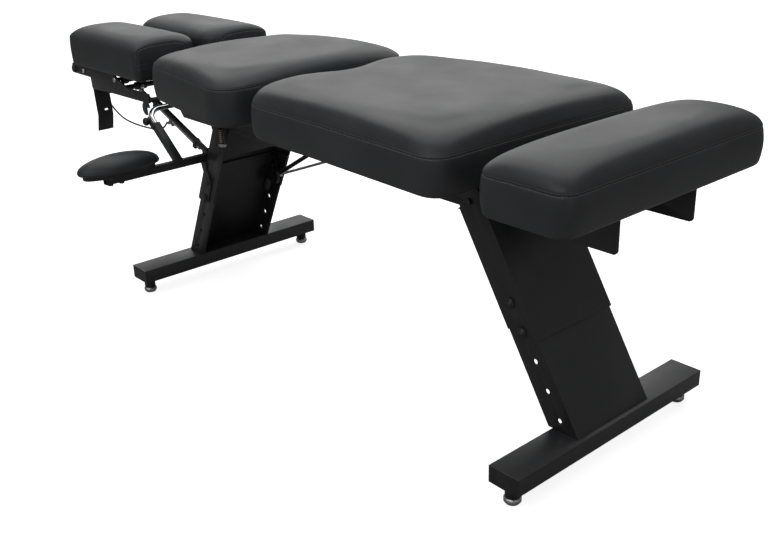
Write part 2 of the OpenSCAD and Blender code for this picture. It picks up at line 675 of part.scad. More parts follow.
// a drawing of a flat link with round ends
module bar2(a, b, r) {
  translate(a) circle(r = r);
  translate(b) circle(r = r);
  let (d = b - a) translate(a) rotate(atan2(d[1], d[0])) translate([0, -r]) square([norm(d), 2 * r]);
}
nut_r = 7;
module guide_rods() {
  color(steel) placed() for (x = guide_xs) {
    rod_y(x, guide_z, guide_r, -head_half, head_half);
    both() rod_y(x, guide_z, nut_r, head_half, head_half + guide_r * 0.8);
  }
}
brk_x = -1093;
brk_y0 = 150;
brk_y1 = 200;
brk_t = 4;
brk_shares = [[0, 0], [0.052, -0.63], [-0.055, -1]];
brk_l = 133;
brk_top = 577.3;
brk_z = 539;
slot_y = 167;
slot_z = 472;
slot_r = 3;
slot_l = 12;
// from y0 to y1 across the table, the drawing in X and Z
module paper_brackets() {
  color(dark) placed() both() difference() {
    union() {
      slab(brk_y0, brk_y1) polygon(concat(
        [for (p = brk_shares) [brk_x + p[0] * brk_l, brk_z + p[1] * brk_l]],
        [for (i = [2, 1, 0]) let (p = brk_shares[i]) [brk_x + brk_t + p[0] * brk_l, brk_z + p[1] * brk_l]]));
      // the strap's top runs up behind the head plate
      block(brk_x, brk_x + brk_t, brk_y0, brk_y1, brk_z, brk_top);
      block(brk_x, brk_x + brk_y1 - brk_y0, brk_y1 - brk_t, brk_y1, brk_z + brk_t * 2, brk_top);
    }
    for (o = [0, slot_l - 2 * slot_r]) translate([brk_x - brk_y0, slot_y + o, slot_z]) rotate([0, 90, 0])
      cylinder(r = slot_r, h = 2 * brk_y0);
    block(brk_x - brk_y0, brk_x + brk_y0, slot_y, slot_y + slot_l - 2 * slot_r, slot_z - slot_r,
      slot_z + slot_r);
  }
}

// face cushions: each on a board with sliders on the two guide rods
face_x0 = -1169;
face_x1 = -738;
face_y0 = 15;
face_y1 = 223;
face_mid = (face_y0 + face_y1) / 2;
face_r_out = 15;
face_r_foot = 60;
face_r_head = 40;
face_roll = 12;
face_edge = 94;
face_in = 13;
face_plan = [[face_x0, face_y0, face_r_head], [face_x1, face_y0, face_r_foot],
  [face_x1, face_y1, face_r_out], [face_x0, face_y1, face_r_out]];
module face_cushion() {
  cushion(face_plan, 5, face_z, face_seam_h, face_edge, face_crown, face_roll, face_in,
    [face_x0 + face_mid, face_x1 - face_mid, face_mid]);
}
slider_y0 = 60;
slider_y1 = 168;
slider_w = 22;
disc_t = 13;
module face_board() {
  difference() {
    union() {
      board(face_plan, 5, face_in, face_z);
      for (x = guide_xs) block(x - slider_w / 2, x + slider_w / 2, slider_y0, slider_y1,
        guide_z - slider_w / 2, face_z);
    }
    for (x = guide_xs) rod_y(x, guide_z, guide_r + run, slider_y0 - cut, slider_y1 + cut);
  }
}
module near_face_board() { color(wood) placed() mirror([0, 1, 0]) face_board(); }
module far_face_board() { color(wood) placed() face_board(); }
module near_face_cushion() { color(vinyl) placed() mirror([0, 1, 0]) face_cushion(); }
module far_face_cushion() { color(vinyl) placed() face_cushion(); }
module face_bearings() {
  for (x = guide_xs) difference() {
    rod_y(x, guide_z, face_disc_r, slider_y1, slider_y1 + disc_t);
    rod_y(x, guide_z, guide_r + run, slider_y1 - cut, slider_y1 + disc_t + cut);
  }
}
module near_face_bearings() { color(plastic) placed() mirror([0, 1, 0]) face_bearings(); }
module far_face_bearings() { color(plastic) placed() face_bearings(); }

// release lever and cable
lever_y = 138;
lever_t = 5;
lever_pivot = [-1165, 571];
lever_tip = [-1201, 560];
lever_end = [-1148, 566];
lever_r = 6;
lever_pin_r = 3;
stop_at = [-1150, 550];
module release_lever() {
  color(plastic) placed() {
    slab(-lever_y - lever_t + part_gap, -lever_y + lever_t - part_gap) {
      bar2(lever_pivot, lever_tip, lever_r, $fn = 12);
      bar2(lever_pivot, lever_end, lever_r * 0.8, $fn = 12);
    }
    rod_y(lever_pivot[0], lever_pivot[1], lever_pin_r, -lever_y - lever_t * 2, -lever_y + lever_t * 2);
  }
}
cable_route = [[-1150, -138, 545], [-1148, -138, 524], [-1133, -138, 494], [-1109, -138, 473],
  [-1080, -137, 457], [-1046, -133, 442], [-1009, -127, 434], [-966, -119, 429], [-923, -112, 428],
  [-892, -107, 430], [-867, -104, 435], [-845, -103.5, 445], [-829.3, -103.5, 458.7]];
// a point of a smooth path through the route
function spline(a, b, c, d, t) = 0.5 * ((2 * b) + (c - a) * t + (2 * a - 5 * b + 4 * c - d) * t * t
  + (3 * b - 3 * c + d - a) * t * t * t);
function route_at(r, i, t) = spline(r[max(i - 1, 0)], r[i], r[i + 1], r[min(i + 2, len(r) - 1)], t);
function path(r, k) = concat([for (i = [0 : len(r) - 2]) for (j = [0 : k - 1]) route_at(r, i, j / k)],
  [r[len(r) - 1]]);
module cord(r, k, rad) {
  p = path(r, k);
  n = len(p) - 1;
  stack([for (i = [0 : n]) let (t = unit(p[min(i + 1, n)] - p[max(i - 1, 0)]), s = unit(cross(t, [0, 1, 0])),
    u = cross(s, t)) [for (q = [0 : 7]) p[i] + rad * (cos(45 * q) * s + sin(45 * q) * u)]]);
}
module release_cable() { color(plastic) placed() cord(cable_route, 4, cable_r); }

// lock strut, drawn along its own line from the upper pivot
foot_pin = [-626, 408];
strut_a = atan2(strut_z - foot_pin[1], foot_pin[0] - strut_x);
strut_l = norm(foot_pin - [strut_x, strut_z]);
strut_drop = 12;
rod_end = 350;
bar_start = 92;
bar_eye_r = 10;
open_r = 7.5;
foot_pin_r = 4;
module strut_frame() {
  translate([strut_x, -strut_y, strut_z]) rotate([0, strut_a, 0]) children();
}
module lock_rod() {
  color(steel) placed() strut_frame() difference() {
    union() {
      rod_y(0, 0, knuckle_r, -strut_w / 2, strut_w / 2);
      block(0, knuckle_r, -strut_w / 2, strut_w / 2, -strut_drop - strut_r, 0);
      translate([0, 0, -strut_drop]) rotate([0, 90, 0]) cylinder(r = strut_r, h = rod_end);
    }
    rod_y(0, 0, brace_r + run, -strut_w, strut_w);
  }
}
// cable bracket clamped on the rod
brkt_s = 186;
brkt_w = 12;
brkt_h = 17;
// boss that holds the end of the cable, from the bracket's corner
boss_at = [-8, -15];
boss_r = 3.5;
boss_y = 6.5;
module lock_bracket() {
  color([0.5, 0.52, 0.53]) placed() strut_frame() difference() {
    translate([brkt_s, 0, -strut_drop]) union() {
      rotate([0, 90, 0]) cylinder(r = strut_r * 1.6, h = brkt_w);
      slab(-strut_r, strut_r) polygon([[0, 0], [-brkt_w * 0.9, -brkt_h], [-brkt_w * 0.4, -brkt_h * 1.2],
        [brkt_w * 0.5, -strut_r * 1.7], [brkt_w * 1.2, -brkt_h * 0.9], [brkt_w * 1.5, -brkt_h * 0.7],
        [brkt_w, 0]]);
      rod_y(boss_at[0], boss_at[1], boss_r, -boss_y, 0);
    }
    translate([brkt_s - brkt_w, 0, -strut_drop]) rotate([0, 90, 0]) cylinder(r = strut_r, h = brkt_w * 4);
    block(brkt_s - brkt_w * 2, brkt_s + brkt_w * 2, -strut_w, strut_w, -strut_w / 2 - part_gap, strut_w);
  }
}
loop_w = 14;
module lock_bar() {
  color(dark) placed() strut_frame() difference() {
    union() {
      block(bar_start, strut_l - bar_eye_r / 2, -strut_w / 2, strut_w / 2, -strut_w / 2, strut_w / 2);
      rod_y(strut_l, 0, bar_eye_r, -strut_w / 2, strut_w / 2);
      for (s = [bar_start, strut_l - loop_w * 4.5]) block(s, s + loop_w, -strut_w * 0.7, strut_w * 0.7,
        -strut_drop - strut_r * 1.7, strut_w / 2);
    }
    rod_y(strut_l, 0, open_r, -strut_w, strut_w);
    translate([bar_start - cut, 0, -strut_drop]) rotate([0, 90, 0]) cylinder(r = strut_r + run, h = strut_l);
  }
}

// bent brace tube and its sockets
leg_len = 175;
module brace_frame() {
  translate([-pivot_x, 0, pivot_z]) rotate([0, 180 + brace_slope, 0]) rotate([0, 0, 90]) children();
}
brace_y = head_half;
module ring2(r) {
  difference() {
    circle(r = r);
    circle(r = r - washer_t);
  }
}
module brace_tube() {
  e = brace_y - brace_bend;
  color(steel) placed() brace_frame() {
    translate([-e, 0, 0]) rotate([0, 90, 0]) linear_extrude(2 * e) ring2(brace_r);
    for (m = [0, 1]) mirror([m, 0, 0]) {
      translate([e, brace_bend, 0]) rotate([0, 0, -90]) rotate_extrude(angle = 90)
        translate([brace_bend, 0]) ring2(brace_r);
      translate([brace_y, brace_bend, 0]) rotate([-90, 0, 0]) linear_extrude(leg_len - brace_bend)
        ring2(brace_r);
    }
  }
}
socket_w = 20;
socket_top = 55;
socket_end = 235;
module sockets() {
  color(dark) placed() difference() {
    union() {
      brace_frame() for (m = [0, 1]) mirror([m, 0, 0]) {
        translate([brace_y - socket_w / 2, socket_top, -socket_w / 2])
          cube([socket_w, socket_end - socket_top, socket_w]);
        // ear of the clamp knob
        translate([brace_y + socket_w / 2, knob_s - socket_w / 2, -socket_w * 0.4])
          cube([rail_t, socket_top * 1.2 - knob_s + socket_w / 2, socket_w * 0.8]);
      }
    }
    brace_frame() for (m = [0, 1]) mirror([m, 0, 0]) {
      translate([brace_y, 0, 0]) rotate([-90, 0, 0]) cylinder(r = brace_r, h = socket_end * 2);
      translate([brace_y, knob_s, 0]) rotate([0, 90, 0]) cylinder(r = knob_pin_r + run, h = socket_w * 2);
    }
    // cut level on the crossbar
    block(-bar_span, bar_span, -bar_l, bar_l, 0, arm_z + arm_bar_w / 2);
  }
}
knob_s = 39;
knob_pin_r = 3;
knob_r = 11.5;
knob_y = brace_y + socket_w / 2 + rail_t;
module clamp_knob() {
  brace_frame() translate([0, knob_s, 0]) {
    translate([brace_y + brace_r, 0, 0]) rotate([0, 90, 0])
      cylinder(r = knob_pin_r, h = knob_y - brace_y - brace_r + knob_r / 2);
    translate([knob_y + part_gap, 0, 0]) rotate([0, 90, 0]) rotate_extrude()
      polygon([for (p = knob_shares) p * knob_r]);
  }
}
knob_shares = [[0, 0], [0.5, 0], [0.56, 0.18], [0.9, 0.34], [1, 0.6], [0.98, 0.95], [0.8, 1.25],
  [0.5, 1.42], [0, 1.48]];
module near_clamp_knob() { color(plastic) placed() mirror([0, 1, 0]) clamp_knob(); }
module far_clamp_knob() { color(plastic) placed() clamp_knob(); }

// armrests
arm_plate_t = 5;
arm_board_z = arm_z + arm_bar_w / 2 + arm_plate_t;
arm_pad_z = arm_board_z + board_t;
arm_x0 = -arm_x - arm_l * 0.47;
arm_bolt_step = 28;
arm_bolt_x = arm_bolt_step - arm_x;
arm_out = knob_y + arm_gap + arm_w;
arm_bolt_in = [47, 15];
arm_bolt_y = [for (i = arm_bolt_in) arm_half - i];
arm_plate_in = [22, 43];
arm_plate_x0 = -arm_x - arm_plate_in[0];
arm_plate_x1 = arm_plate_in[1] - arm_x;
arm_plate_l = 62;
arm_plate_y = arm_half - arm_plate_l;
lug_fork = 11;
module arm_crossbar() {
  color(dark) placed() {
    difference() {
      tube_y(-arm_x, arm_z, arm_bar_w, bar_wall, -arm_half, arm_half);
      for (y = arm_bolt_y) for (m = [-1, 1])
        rod_z(-arm_x, m * y, small_r + run, arm_z - arm_bar_w, arm_z + arm_bar_w);
    }
    // fork that holds the lock strut's foot
    for (y = [-strut_y - lug_fork, -strut_y + lug_fork - brk_t]) slab(y, y + brk_t)
      bar2(foot_pin, [-arm_x - arm_bar_w / 2 - run, foot_pin[1]], arm_bar_w * 0.45);
    rod_y(foot_pin[0], foot_pin[1], foot_pin_r, -strut_y - lug_fork, -strut_y + lug_fork);
  }
}
strap_t = 4;
strap_shares = [[-0.07, 0.405], [0.035, 0.405], [0.28, 0.03], [0.07, -0.45], [-0.31, -0.43], [0, 0.19]];
strap_l = 140;
strap_off = [-25.3, -4.8];
strap_c = leg_at(-1, hole_first + (hole_n - 1) * hole_pitch) + strap_off;
module arm_straps() {
  color(dark) placed() both() difference() {
    union() {
      slab(sleeve_out, sleeve_out + strap_t) polygon([for (p = strap_shares) strap_c + p * strap_l]);
      block(-arm_x - arm_bar_w / 2, sleeve_t * 2 - arm_x + arm_bar_w / 2, sleeve_out, sleeve_out + strap_t,
        strap_c[1] + strap_l * 0.3, arm_z - arm_bar_w / 2);
    }
    for (i = [hole_n - 2 : hole_n - 1]) let (p = leg_at(-1, hole_first + i * hole_pitch))
      rod_y(p[0], p[1], bolt_r + run, 0, sleeve_out * 2);
  }
}
// an oval outline: shares of its half length and half width, and corner radii as shares of the length
arm_shares = [[-0.42, -1, 0.32], [0.42, -1, 0.32], [1, -0.42, 1.35], [1, 0.42, 1.35], [0.42, 1, 0.32],
  [-0.42, 1, 0.32], [-1, 0.42, 1.35], [-1, -0.42, 1.35]];
arm_mid = [arm_x0 + arm_l / 2, arm_out - arm_w / 2];
arm_plan = [for (p = arm_shares)
  [arm_mid[0] + p[0] * arm_l / 2, arm_mid[1] + p[1] * arm_w / 2, p[2] * arm_l]];
arm_roll = 12;
arm_edge = 18;
arm_seam = 9;
arm_in = 13;
module arm_boards() {
  color(dark) placed() both() {
    difference() {
      union() {
        block(arm_plate_x0, arm_plate_x1, arm_plate_y, arm_half, arm_z + arm_bar_w / 2, arm_board_z);
        translate([0, 0, arm_board_z]) linear_extrude(board_t) polygon(inset(rim(arm_plan, 5), arm_in));
      }
      for (x = [-arm_x, arm_bolt_x]) for (y = arm_bolt_y)
        rod_z(x, y, small_r, arm_z, arm_board_z + board_t / 2);
    }
  }
}
module arm_pad() {
  rm = rim(arm_plan, 5);
  top = inset(rm, arm_roll);
  sp = [arm_mid[0], arm_mid[0], arm_mid[1]];
  stack(concat([at_z(inset(rm, arm_roll * 0.2), arm_pad_z), at_z(inset(rm, 0), arm_pad_z + arm_seam / 3),
    at_z(inset(rm, 0), arm_pad_z + arm_seam), at_z(inset(rm, arm_roll * 0.3), arm_pad_z + arm_edge * 0.8),
    at_z(top, arm_pad_z + arm_edge * 1.2)],
    [for (f = crown_shares) at_z(toward(top, sp, f), arm_pad_z + arm_edge * 1.2
      + (arm_crown - arm_edge * 1.2) * (1 - pow(1 - f, 2)) / (1 - pow(1 - 0.85, 2)))]));
}
module near_arm_pad() { color(vinyl) placed() mirror([0, 1, 0]) arm_pad(); }
module far_arm_pad() { color(vinyl) placed() arm_pad(); }

// drop gear on the far side
cock_pivot = leg_at(-1, hole_first + (hole_n - 1) * hole_pitch);
// places on the lever, from its pivot
pin_at = [22, -28];
grip_from = [-24, -52];
grip_to = [-34, -74];
cock_pin = cock_pivot + pin_at;
cock_grip_a = cock_pivot + grip_from;
cock_grip_b = cock_pivot + grip_to;
chest_lug = [-310, 450];
pelvic_lug = [-120, 471];
cock_y = 96;
link_t = 4;
stud_big = 5;
cock_pin_r = 4;
cock_plate_r = 9;
cock_rise = 20;
cock_tab = [6, 14, 26];
link_end_r = 7;
link_bar_r = 6;
link_rod_r = 4;
module cocking_bracket() {
  color(dark) placed() {
    slab(cock_y + link_t * 2, cock_y + link_t * 3)
      bar2(cock_pivot, cock_pivot + [0, cock_rise], cock_plate_r);
    block(cock_pivot[0] - cock_tab[0], cock_pivot[0] + cock_tab[0], cock_y + link_t * 3,
      half_post - post_t, cock_pivot[1] + cock_tab[1], cock_pivot[1] + cock_tab[2]);
    rod_y(cock_pivot[0], cock_pivot[1], stud_big, cock_y - link_t * 1.2, cock_y + link_t * 2);
    rod_y(cock_pivot[0], cock_pivot[1], stud_big * 1.7, cock_y - link_t * 1.6, cock_y - part_gap);
  }
}
module cocking_lever() {
  color(plastic) placed() {
    difference() {
      union() {
        slab(cock_y, cock_y + link_t) {
          bar2(cock_pivot, cock_pin, cock_arm, $fn = 12);
          bar2(cock_pivot, cock_grip_b, cock_arm * 0.6, $fn = 12);
        }
        rod_y(cock_pivot[0], cock_pivot[1], cock_arm * 1.15, cock_y + link_t / 2,
          cock_y + link_t * 2 - part_gap);
      }
      rod_y(cock_pivot[0], cock_pivot[1], stud_big + run, 0, half_post);
    }
    rod_y(cock_pin[0], cock_pin[1], cock_pin_r, cock_y - link_t * 4, half_post - post_t - cut / 2);
    // round-ended grip
    let (d = cock_grip_b - cock_grip_a) translate([cock_grip_a[0], cock_y - link_t, cock_grip_a[1]])
      rotate([0, atan2(d[0], d[1]), 0]) rotate_extrude() intersection() {
        bar2([0, 0], [0, norm(d)], cock_grip_r);
        translate([0, -cock_grip_r * 2]) square(cock_grip_r * 6);
      }
  }
}
cock_arm = 9;
module cocking_knob() {
  color(plastic) placed() difference() {
    rod_y(cock_pin[0], cock_pin[1], cock_knob_r, cock_y - link_t * 4, cock_y - link_t * 1.5 - part_gap);
    rod_y(cock_pin[0], cock_pin[1], cock_pin_r + run, cock_y - link_t * 5, cock_y);
  }
}
module flat_link(a, b, r_end, r_bar, y0, y1, pin) {
  difference() {
    slab(y0, y1) {
      translate(a) circle(r = r_end);
      translate(b) circle(r = r_end);
      let (d = b - a) translate(a) rotate(atan2(d[1], d[0])) translate([0, -r_bar])
        square([norm(d), 2 * r_bar]);
    }
    rod_y(a[0], a[1], pin + run, 0, half_post);
  }
}
module chest_link() {
  color(steel) placed() {
    flat_link(cock_pin, chest_lug, link_end_r, link_bar_r, cock_y - link_t * 1.5, cock_y - link_t * 0.5,
      cock_pin_r);
    rod_y(chest_lug[0], chest_lug[1], cock_pin_r, lug_y0 - link_t / 2, cock_y - link_t * 0.5);
  }
}
module pelvic_link() {
  d = pelvic_lug - cock_pin;
  a = atan2(d[1], d[0]);
  yr = (cock_y + half_post - link_t) / 2 + link_t;
  color(steel) placed() {
    difference() {
      rod_y(cock_pin[0], cock_pin[1], link_end_r, cock_y + link_t * 1.5, half_post - post_t - link_t / 2);
      rod_y(cock_pin[0], cock_pin[1], cock_pin_r + run, 0, half_post);
    }
    translate([cock_pin[0], yr, cock_pin[1]]) rotate([0, 90 - a, 0]) translate([0, 0, link_bar_r])
      cylinder(r = link_rod_r, h = norm(d) - link_bar_r);
    rod_y(pelvic_lug[0], pelvic_lug[1], cock_pin_r, lug_y0 - link_t / 2, yr + stud_big);
  }
}

head_base_bar();
foot_base_bar();
bar_end_caps();
glide_bushes();
near_head_glide();
far_head_glide();
near_foot_glide();
far_foot_glide();
head_post();
foot_post();
head_sleeve();
foot_sleeve();
cross_plates();
leg_bolts();
rail_bolts();
rails();
cross_members();
foot_plates();
foot_board();
foot_cushion();
drop_bumpers();
chest_frame();
chest_board();
chest_cushion();
spring_tab();
chest_spring();
chest_wing_nut();
pelvic_frame();
pelvic_board();
pelvic_cushion();
head_plates();
head_cross_tubes();
guide_rods();
paper_brackets();
near_face_board();
near_face_cushion();
far_face_board();
far_face_cushion();
near_face_bearings();
far_face_bearings();
release_lever();
release_cable();
lock_rod();
lock_bracket();
lock_bar();
brace_tube();
sockets();
near_clamp_knob();
far_clamp_knob();
arm_crossbar();
arm_straps();
arm_boards();
near_arm_pad();
far_arm_pad();
cocking_bracket();
cocking_lever();
cocking_knob();
chest_link();
pelvic_link();
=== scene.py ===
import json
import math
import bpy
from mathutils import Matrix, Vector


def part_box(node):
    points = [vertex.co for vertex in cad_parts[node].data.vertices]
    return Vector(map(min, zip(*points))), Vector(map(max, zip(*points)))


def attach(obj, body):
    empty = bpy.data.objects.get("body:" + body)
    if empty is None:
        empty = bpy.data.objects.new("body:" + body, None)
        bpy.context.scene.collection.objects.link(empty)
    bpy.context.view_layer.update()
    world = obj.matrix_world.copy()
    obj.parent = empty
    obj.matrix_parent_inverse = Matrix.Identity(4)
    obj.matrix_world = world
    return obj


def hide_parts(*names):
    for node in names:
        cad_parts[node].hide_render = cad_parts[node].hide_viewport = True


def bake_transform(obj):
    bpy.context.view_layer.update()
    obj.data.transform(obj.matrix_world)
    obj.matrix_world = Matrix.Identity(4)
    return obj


bl_info = {
    "name": "Chiropractic table",
    "version": (1, 0, 0),
    "blender": (4, 5, 0),
    "location": "View3D > Sidebar > Table",
    "description": "Dresses a chiropractic table: vinyl cushions, powder coated frame, chrome and zinc",
    "category": "Object",
}

from typing import NamedTuple

import bpy
import numpy as np
from mathutils import Matrix, Vector, noise
from mathutils.bvhtree import BVHTree
from mathutils.geometry import delaunay_2d_cdt
from mathutils.kdtree import KDTree

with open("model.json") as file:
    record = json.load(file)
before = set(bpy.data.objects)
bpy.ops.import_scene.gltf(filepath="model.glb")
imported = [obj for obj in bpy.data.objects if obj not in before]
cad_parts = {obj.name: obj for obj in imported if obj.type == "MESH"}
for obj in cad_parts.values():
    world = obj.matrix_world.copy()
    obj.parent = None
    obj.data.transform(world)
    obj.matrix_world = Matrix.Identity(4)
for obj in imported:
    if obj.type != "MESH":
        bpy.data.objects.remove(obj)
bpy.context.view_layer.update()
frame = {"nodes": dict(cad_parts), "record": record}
SLOT_OF = {s["node"]: s["material_slot"] for s in frame["record"]["subparts"]}
BODY_OF = {n: b for b, ns in frame["record"]["behaviour"]["bodies"].items() for n in ns}

# x of the middle between the base bars, in metres; the row's origin is the middle of the whole length
MID_X = 0.179


def place(x, y, z):
    """A point given in mm from the middle between the base bars, in the row frame."""
    return Vector((x / 1000.0 + MID_X, y / 1000.0, z / 1000.0))


# materials: scales are per metre of Object coordinates, and bump distances are in metres

# the colour sockets of a Mix node
FIRST, SECOND, RESULT = 6, 7, 2

# the stitched seam, in metres from its middle: where the dark line ends, and where the stitches run; the
# stitches are pale, and also paint a highlight along the seam
SEAM_LINE = (0.0003, 0.0011)
SEAM_BLACK = (0.006, 0.006, 0.0065)
STITCH_AND_HIGHLIGHT_ROW = 0.0024
STITCH_AND_HIGHLIGHT_WIDTH = (0.0005, 0.0012)
STITCHES_PER_METRE = 220.0
STITCH_SHARE = (0.55, 0.7)

# plywood's figure is drawn out along x
LONG_FIGURE = (1.2, 18.0, 1.0)


def new_material(name):
    mat = bpy.data.materials.new(name)
    mat.use_nodes = True
    return mat, mat.node_tree, mat.node_tree.nodes["Principled BSDF"]


def node(tree, kind, **values):
    """A new node with its sockets and settings given by name."""
    item = tree.nodes.new(kind)
    for key, value in values.items():
        if key in item.inputs:
            item.inputs[key].default_value = value
        else:
            setattr(item, key, value)
    return item


def pattern(tree, kind, stretch=None, **values):
    """A texture on the piece's Object coordinates, which may be scaled differently along each axis."""
    where = tree.nodes.new("ShaderNodeTexCoord").outputs["Object"]
    if stretch is not None:
        mapping = node(tree, "ShaderNodeMapping", Scale=stretch)
        tree.links.new(where, mapping.inputs["Vector"])
        where = mapping.outputs[0]
    item = node(tree, kind, **values)
    tree.links.new(where, item.inputs["Vector"])
    return item


def attribute(tree, name):
    return node(tree, "ShaderNodeAttribute", attribute_name=name).outputs["Fac"]


def mixed(tree, factor, first, second):
    """Two colours mixed by a factor socket; the first may be a socket too."""
    mix = node(tree, "ShaderNodeMix", data_type="RGBA")
    if isinstance(first, bpy.types.NodeSocket):
        tree.links.new(first, mix.inputs[FIRST])
    else:
        mix.inputs[FIRST].default_value = (*first, 1)
    mix.inputs[SECOND].default_value = (*second, 1)
    tree.links.new(factor, mix.inputs[0])
    return mix.outputs[RESULT]


def bump(tree, height, shader, strength, distance, after=None):
    item = node(tree, "ShaderNodeBump", Strength=strength, Distance=distance)
    tree.links.new(height, item.inputs["Height"])
    if after is not None:
        tree.links.new(after.outputs[0], item.inputs["Normal"])
    tree.links.new(item.outputs[0], shader.inputs["Normal"])
    return item


def ramp(tree, factor, low, high, a=0.0, b=1.0):
    """Runs from a to b while the factor goes from low to high."""
    item = tree.nodes.new("ShaderNodeMapRange")
    for key, value in (("From Min", low), ("From Max", high), ("To Min", a), ("To Max", b)):
        item.inputs[key].default_value = value
    tree.links.new(factor, item.inputs["Value"])
    return item.outputs[0]


def math_node(tree, operation, *values):
    """A Math node whose inputs are numbers or sockets."""
    item = node(tree, "ShaderNodeMath", operation=operation)
    for socket, value in zip(item.inputs, values):
        if isinstance(value, (int, float)):
            socket.default_value = value
        else:
            tree.links.new(value, socket)
    return item.outputs[0]


def vinyl(name, colour, pale, thread_and_highlight, rough):
    """Upholstery vinyl: pebble grain, broad mottling, and a stitched seam from the piece's attributes, whose
    pale stitches also paint a highlight along the seam.
    """
    mat, tree, shader = new_material(name)
    grain = pattern(tree, "ShaderNodeTexVoronoi", Scale=620.0).outputs["Distance"]
    pores = pattern(tree, "ShaderNodeTexNoise", Scale=1400.0, Detail=2.0).outputs[0]
    broad = pattern(tree, "ShaderNodeTexNoise", Scale=9.0, Detail=3.0).outputs[0]
    # a dark line where the panels meet, and a row of pale stitches on each side of it, which are also a
    # painted highlight along the seam
    away = math_node(tree, "ABSOLUTE", attribute(tree, "seam_gap"))
    line = ramp(tree, away, *SEAM_LINE, 1.0, 0.0)
    row = math_node(tree, "ABSOLUTE", math_node(tree, "SUBTRACT", away, STITCH_AND_HIGHLIGHT_ROW))
    dash = math_node(tree, "MULTIPLY", attribute(tree, "seam_run"), STITCHES_PER_METRE)
    laid = ramp(tree, math_node(tree, "FRACT", dash), *STITCH_SHARE, 1.0, 0.0)
    stitch_and_highlight = math_node(tree, "MULTIPLY", ramp(tree, row, *STITCH_AND_HIGHLIGHT_WIDTH, 1.0, 0.0), laid)
    tone = mixed(tree, ramp(tree, broad, 0.35, 0.7), colour, pale)
    # the pale thread colour over the stitches is both thread and a painted highlight along the seam
    tone = mixed(tree, stitch_and_highlight, mixed(tree, line, tone, SEAM_BLACK), thread_and_highlight)
    tree.links.new(tone, shader.inputs["Base Color"])
    tree.links.new(ramp(tree, broad, 0.3, 0.7, rough - 0.04, rough + 0.05), shader.inputs["Roughness"])
    pebble = math_node(tree, "MULTIPLY", grain, 0.6)
    height = math_node(tree, "ADD", pebble, math_node(tree, "MULTIPLY", pores, 0.5))
    leather = bump(tree, height, shader, strength=0.16, distance=0.0004)
    sewing = math_node(tree, "SUBTRACT", math_node(tree, "MULTIPLY", stitch_and_highlight, 0.5), line)
    bump(tree, sewing, shader, strength=0.7, distance=0.0009, after=leather)
    return mat


def powder_coat(name, colour, pale, rough):
    """Satin powder coat: orange peel, a little dust in the tone, paler worn edges."""
    mat, tree, shader = new_material(name)
    peel = pattern(tree, "ShaderNodeTexNoise", Scale=520.0, Detail=2.0, Roughness=0.6).outputs[0]
    dust = pattern(tree, "ShaderNodeTexNoise", Scale=14.0, Detail=5.0).outputs[0]
    edge = tree.nodes.new("ShaderNodeNewGeometry").outputs["Pointiness"]
    worn = math_node(tree, "MULTIPLY", ramp(tree, edge, 0.52, 0.62), 0.6)
    tone = math_node(tree, "MAXIMUM", ramp(tree, dust, 0.4, 0.75, 0.0, 0.55), worn)
    tree.links.new(mixed(tree, tone, colour, pale), shader.inputs["Base Color"])
    tree.links.new(ramp(tree, dust, 0.3, 0.7, rough - 0.05, rough + 0.08), shader.inputs["Roughness"])
    bump(tree, peel, shader, strength=0.12, distance=0.0003)
    return mat


def plated(name, colour, rough, streak, metal=1.0):
    """Chrome, zinc, spring wire and castings: smudges in tone and gloss over a very fine grain."""
    mat, tree, shader = new_material(name)
    smudge = pattern(tree, "ShaderNodeTexNoise", Scale=26.0, Detail=4.0).outputs[0]
    fine = pattern(tree, "ShaderNodeTexNoise", Scale=900.0, Detail=2.0).outputs[0]
    dull = tuple(c * 0.86 for c in colour)
    tree.links.new(mixed(tree, ramp(tree, smudge, 0.35, 0.7), colour, dull), shader.inputs["Base Color"])
    tree.links.new(ramp(tree, smudge, 0.3, 0.75, rough, rough + streak), shader.inputs["Roughness"])
    bump(tree, fine, shader, strength=0.04 + streak * 0.3, distance=0.0002)
    shader.inputs["Metallic"].default_value = metal
    return mat


def moulded(name, colour, pale, rough, grain, scale):
    """Moulded plastic and rubber with a fine spark-eroded grain."""
    mat, tree, shader = new_material(name)
    spark = pattern(tree, "ShaderNodeTexNoise", Scale=scale, Detail=3.0).outputs[0]
    cloud = pattern(tree, "ShaderNodeTexNoise", Scale=30.0, Detail=2.0).outputs[0]
    tree.links.new(mixed(tree, ramp(tree, cloud, 0.35, 0.7), colour, pale), shader.inputs["Base Color"])
    tree.links.new(ramp(tree, cloud, 0.3, 0.7, rough - 0.04, rough + 0.06), shader.inputs["Roughness"])
    bump(tree, spark, shader, strength=grain, distance=0.0003)
    return mat


def stained_ply(name, colour, pale, rough):
    """Black-stained plywood: long figure on the faces and the layers' lines on the edges."""
    mat, tree, shader = new_material(name)
    figure = pattern(
        tree, "ShaderNodeTexNoise", stretch=LONG_FIGURE, Scale=7.0, Detail=5.0, Distortion=0.6
    ).outputs[0]
    layers = pattern(tree, "ShaderNodeTexWave", Scale=170.0, Distortion=0.3, bands_direction="Z")
    lines = ramp(tree, layers.outputs["Fac"], 0.0, 1.0, 0.6, 1.0)
    tone = math_node(tree, "MULTIPLY", ramp(tree, figure, 0.3, 0.7), lines)
    tree.links.new(mixed(tree, tone, colour, pale), shader.inputs["Base Color"])
    shader.inputs["Roughness"].default_value = rough
    bump(tree, figure, shader, strength=0.15, distance=0.0003)
    return mat


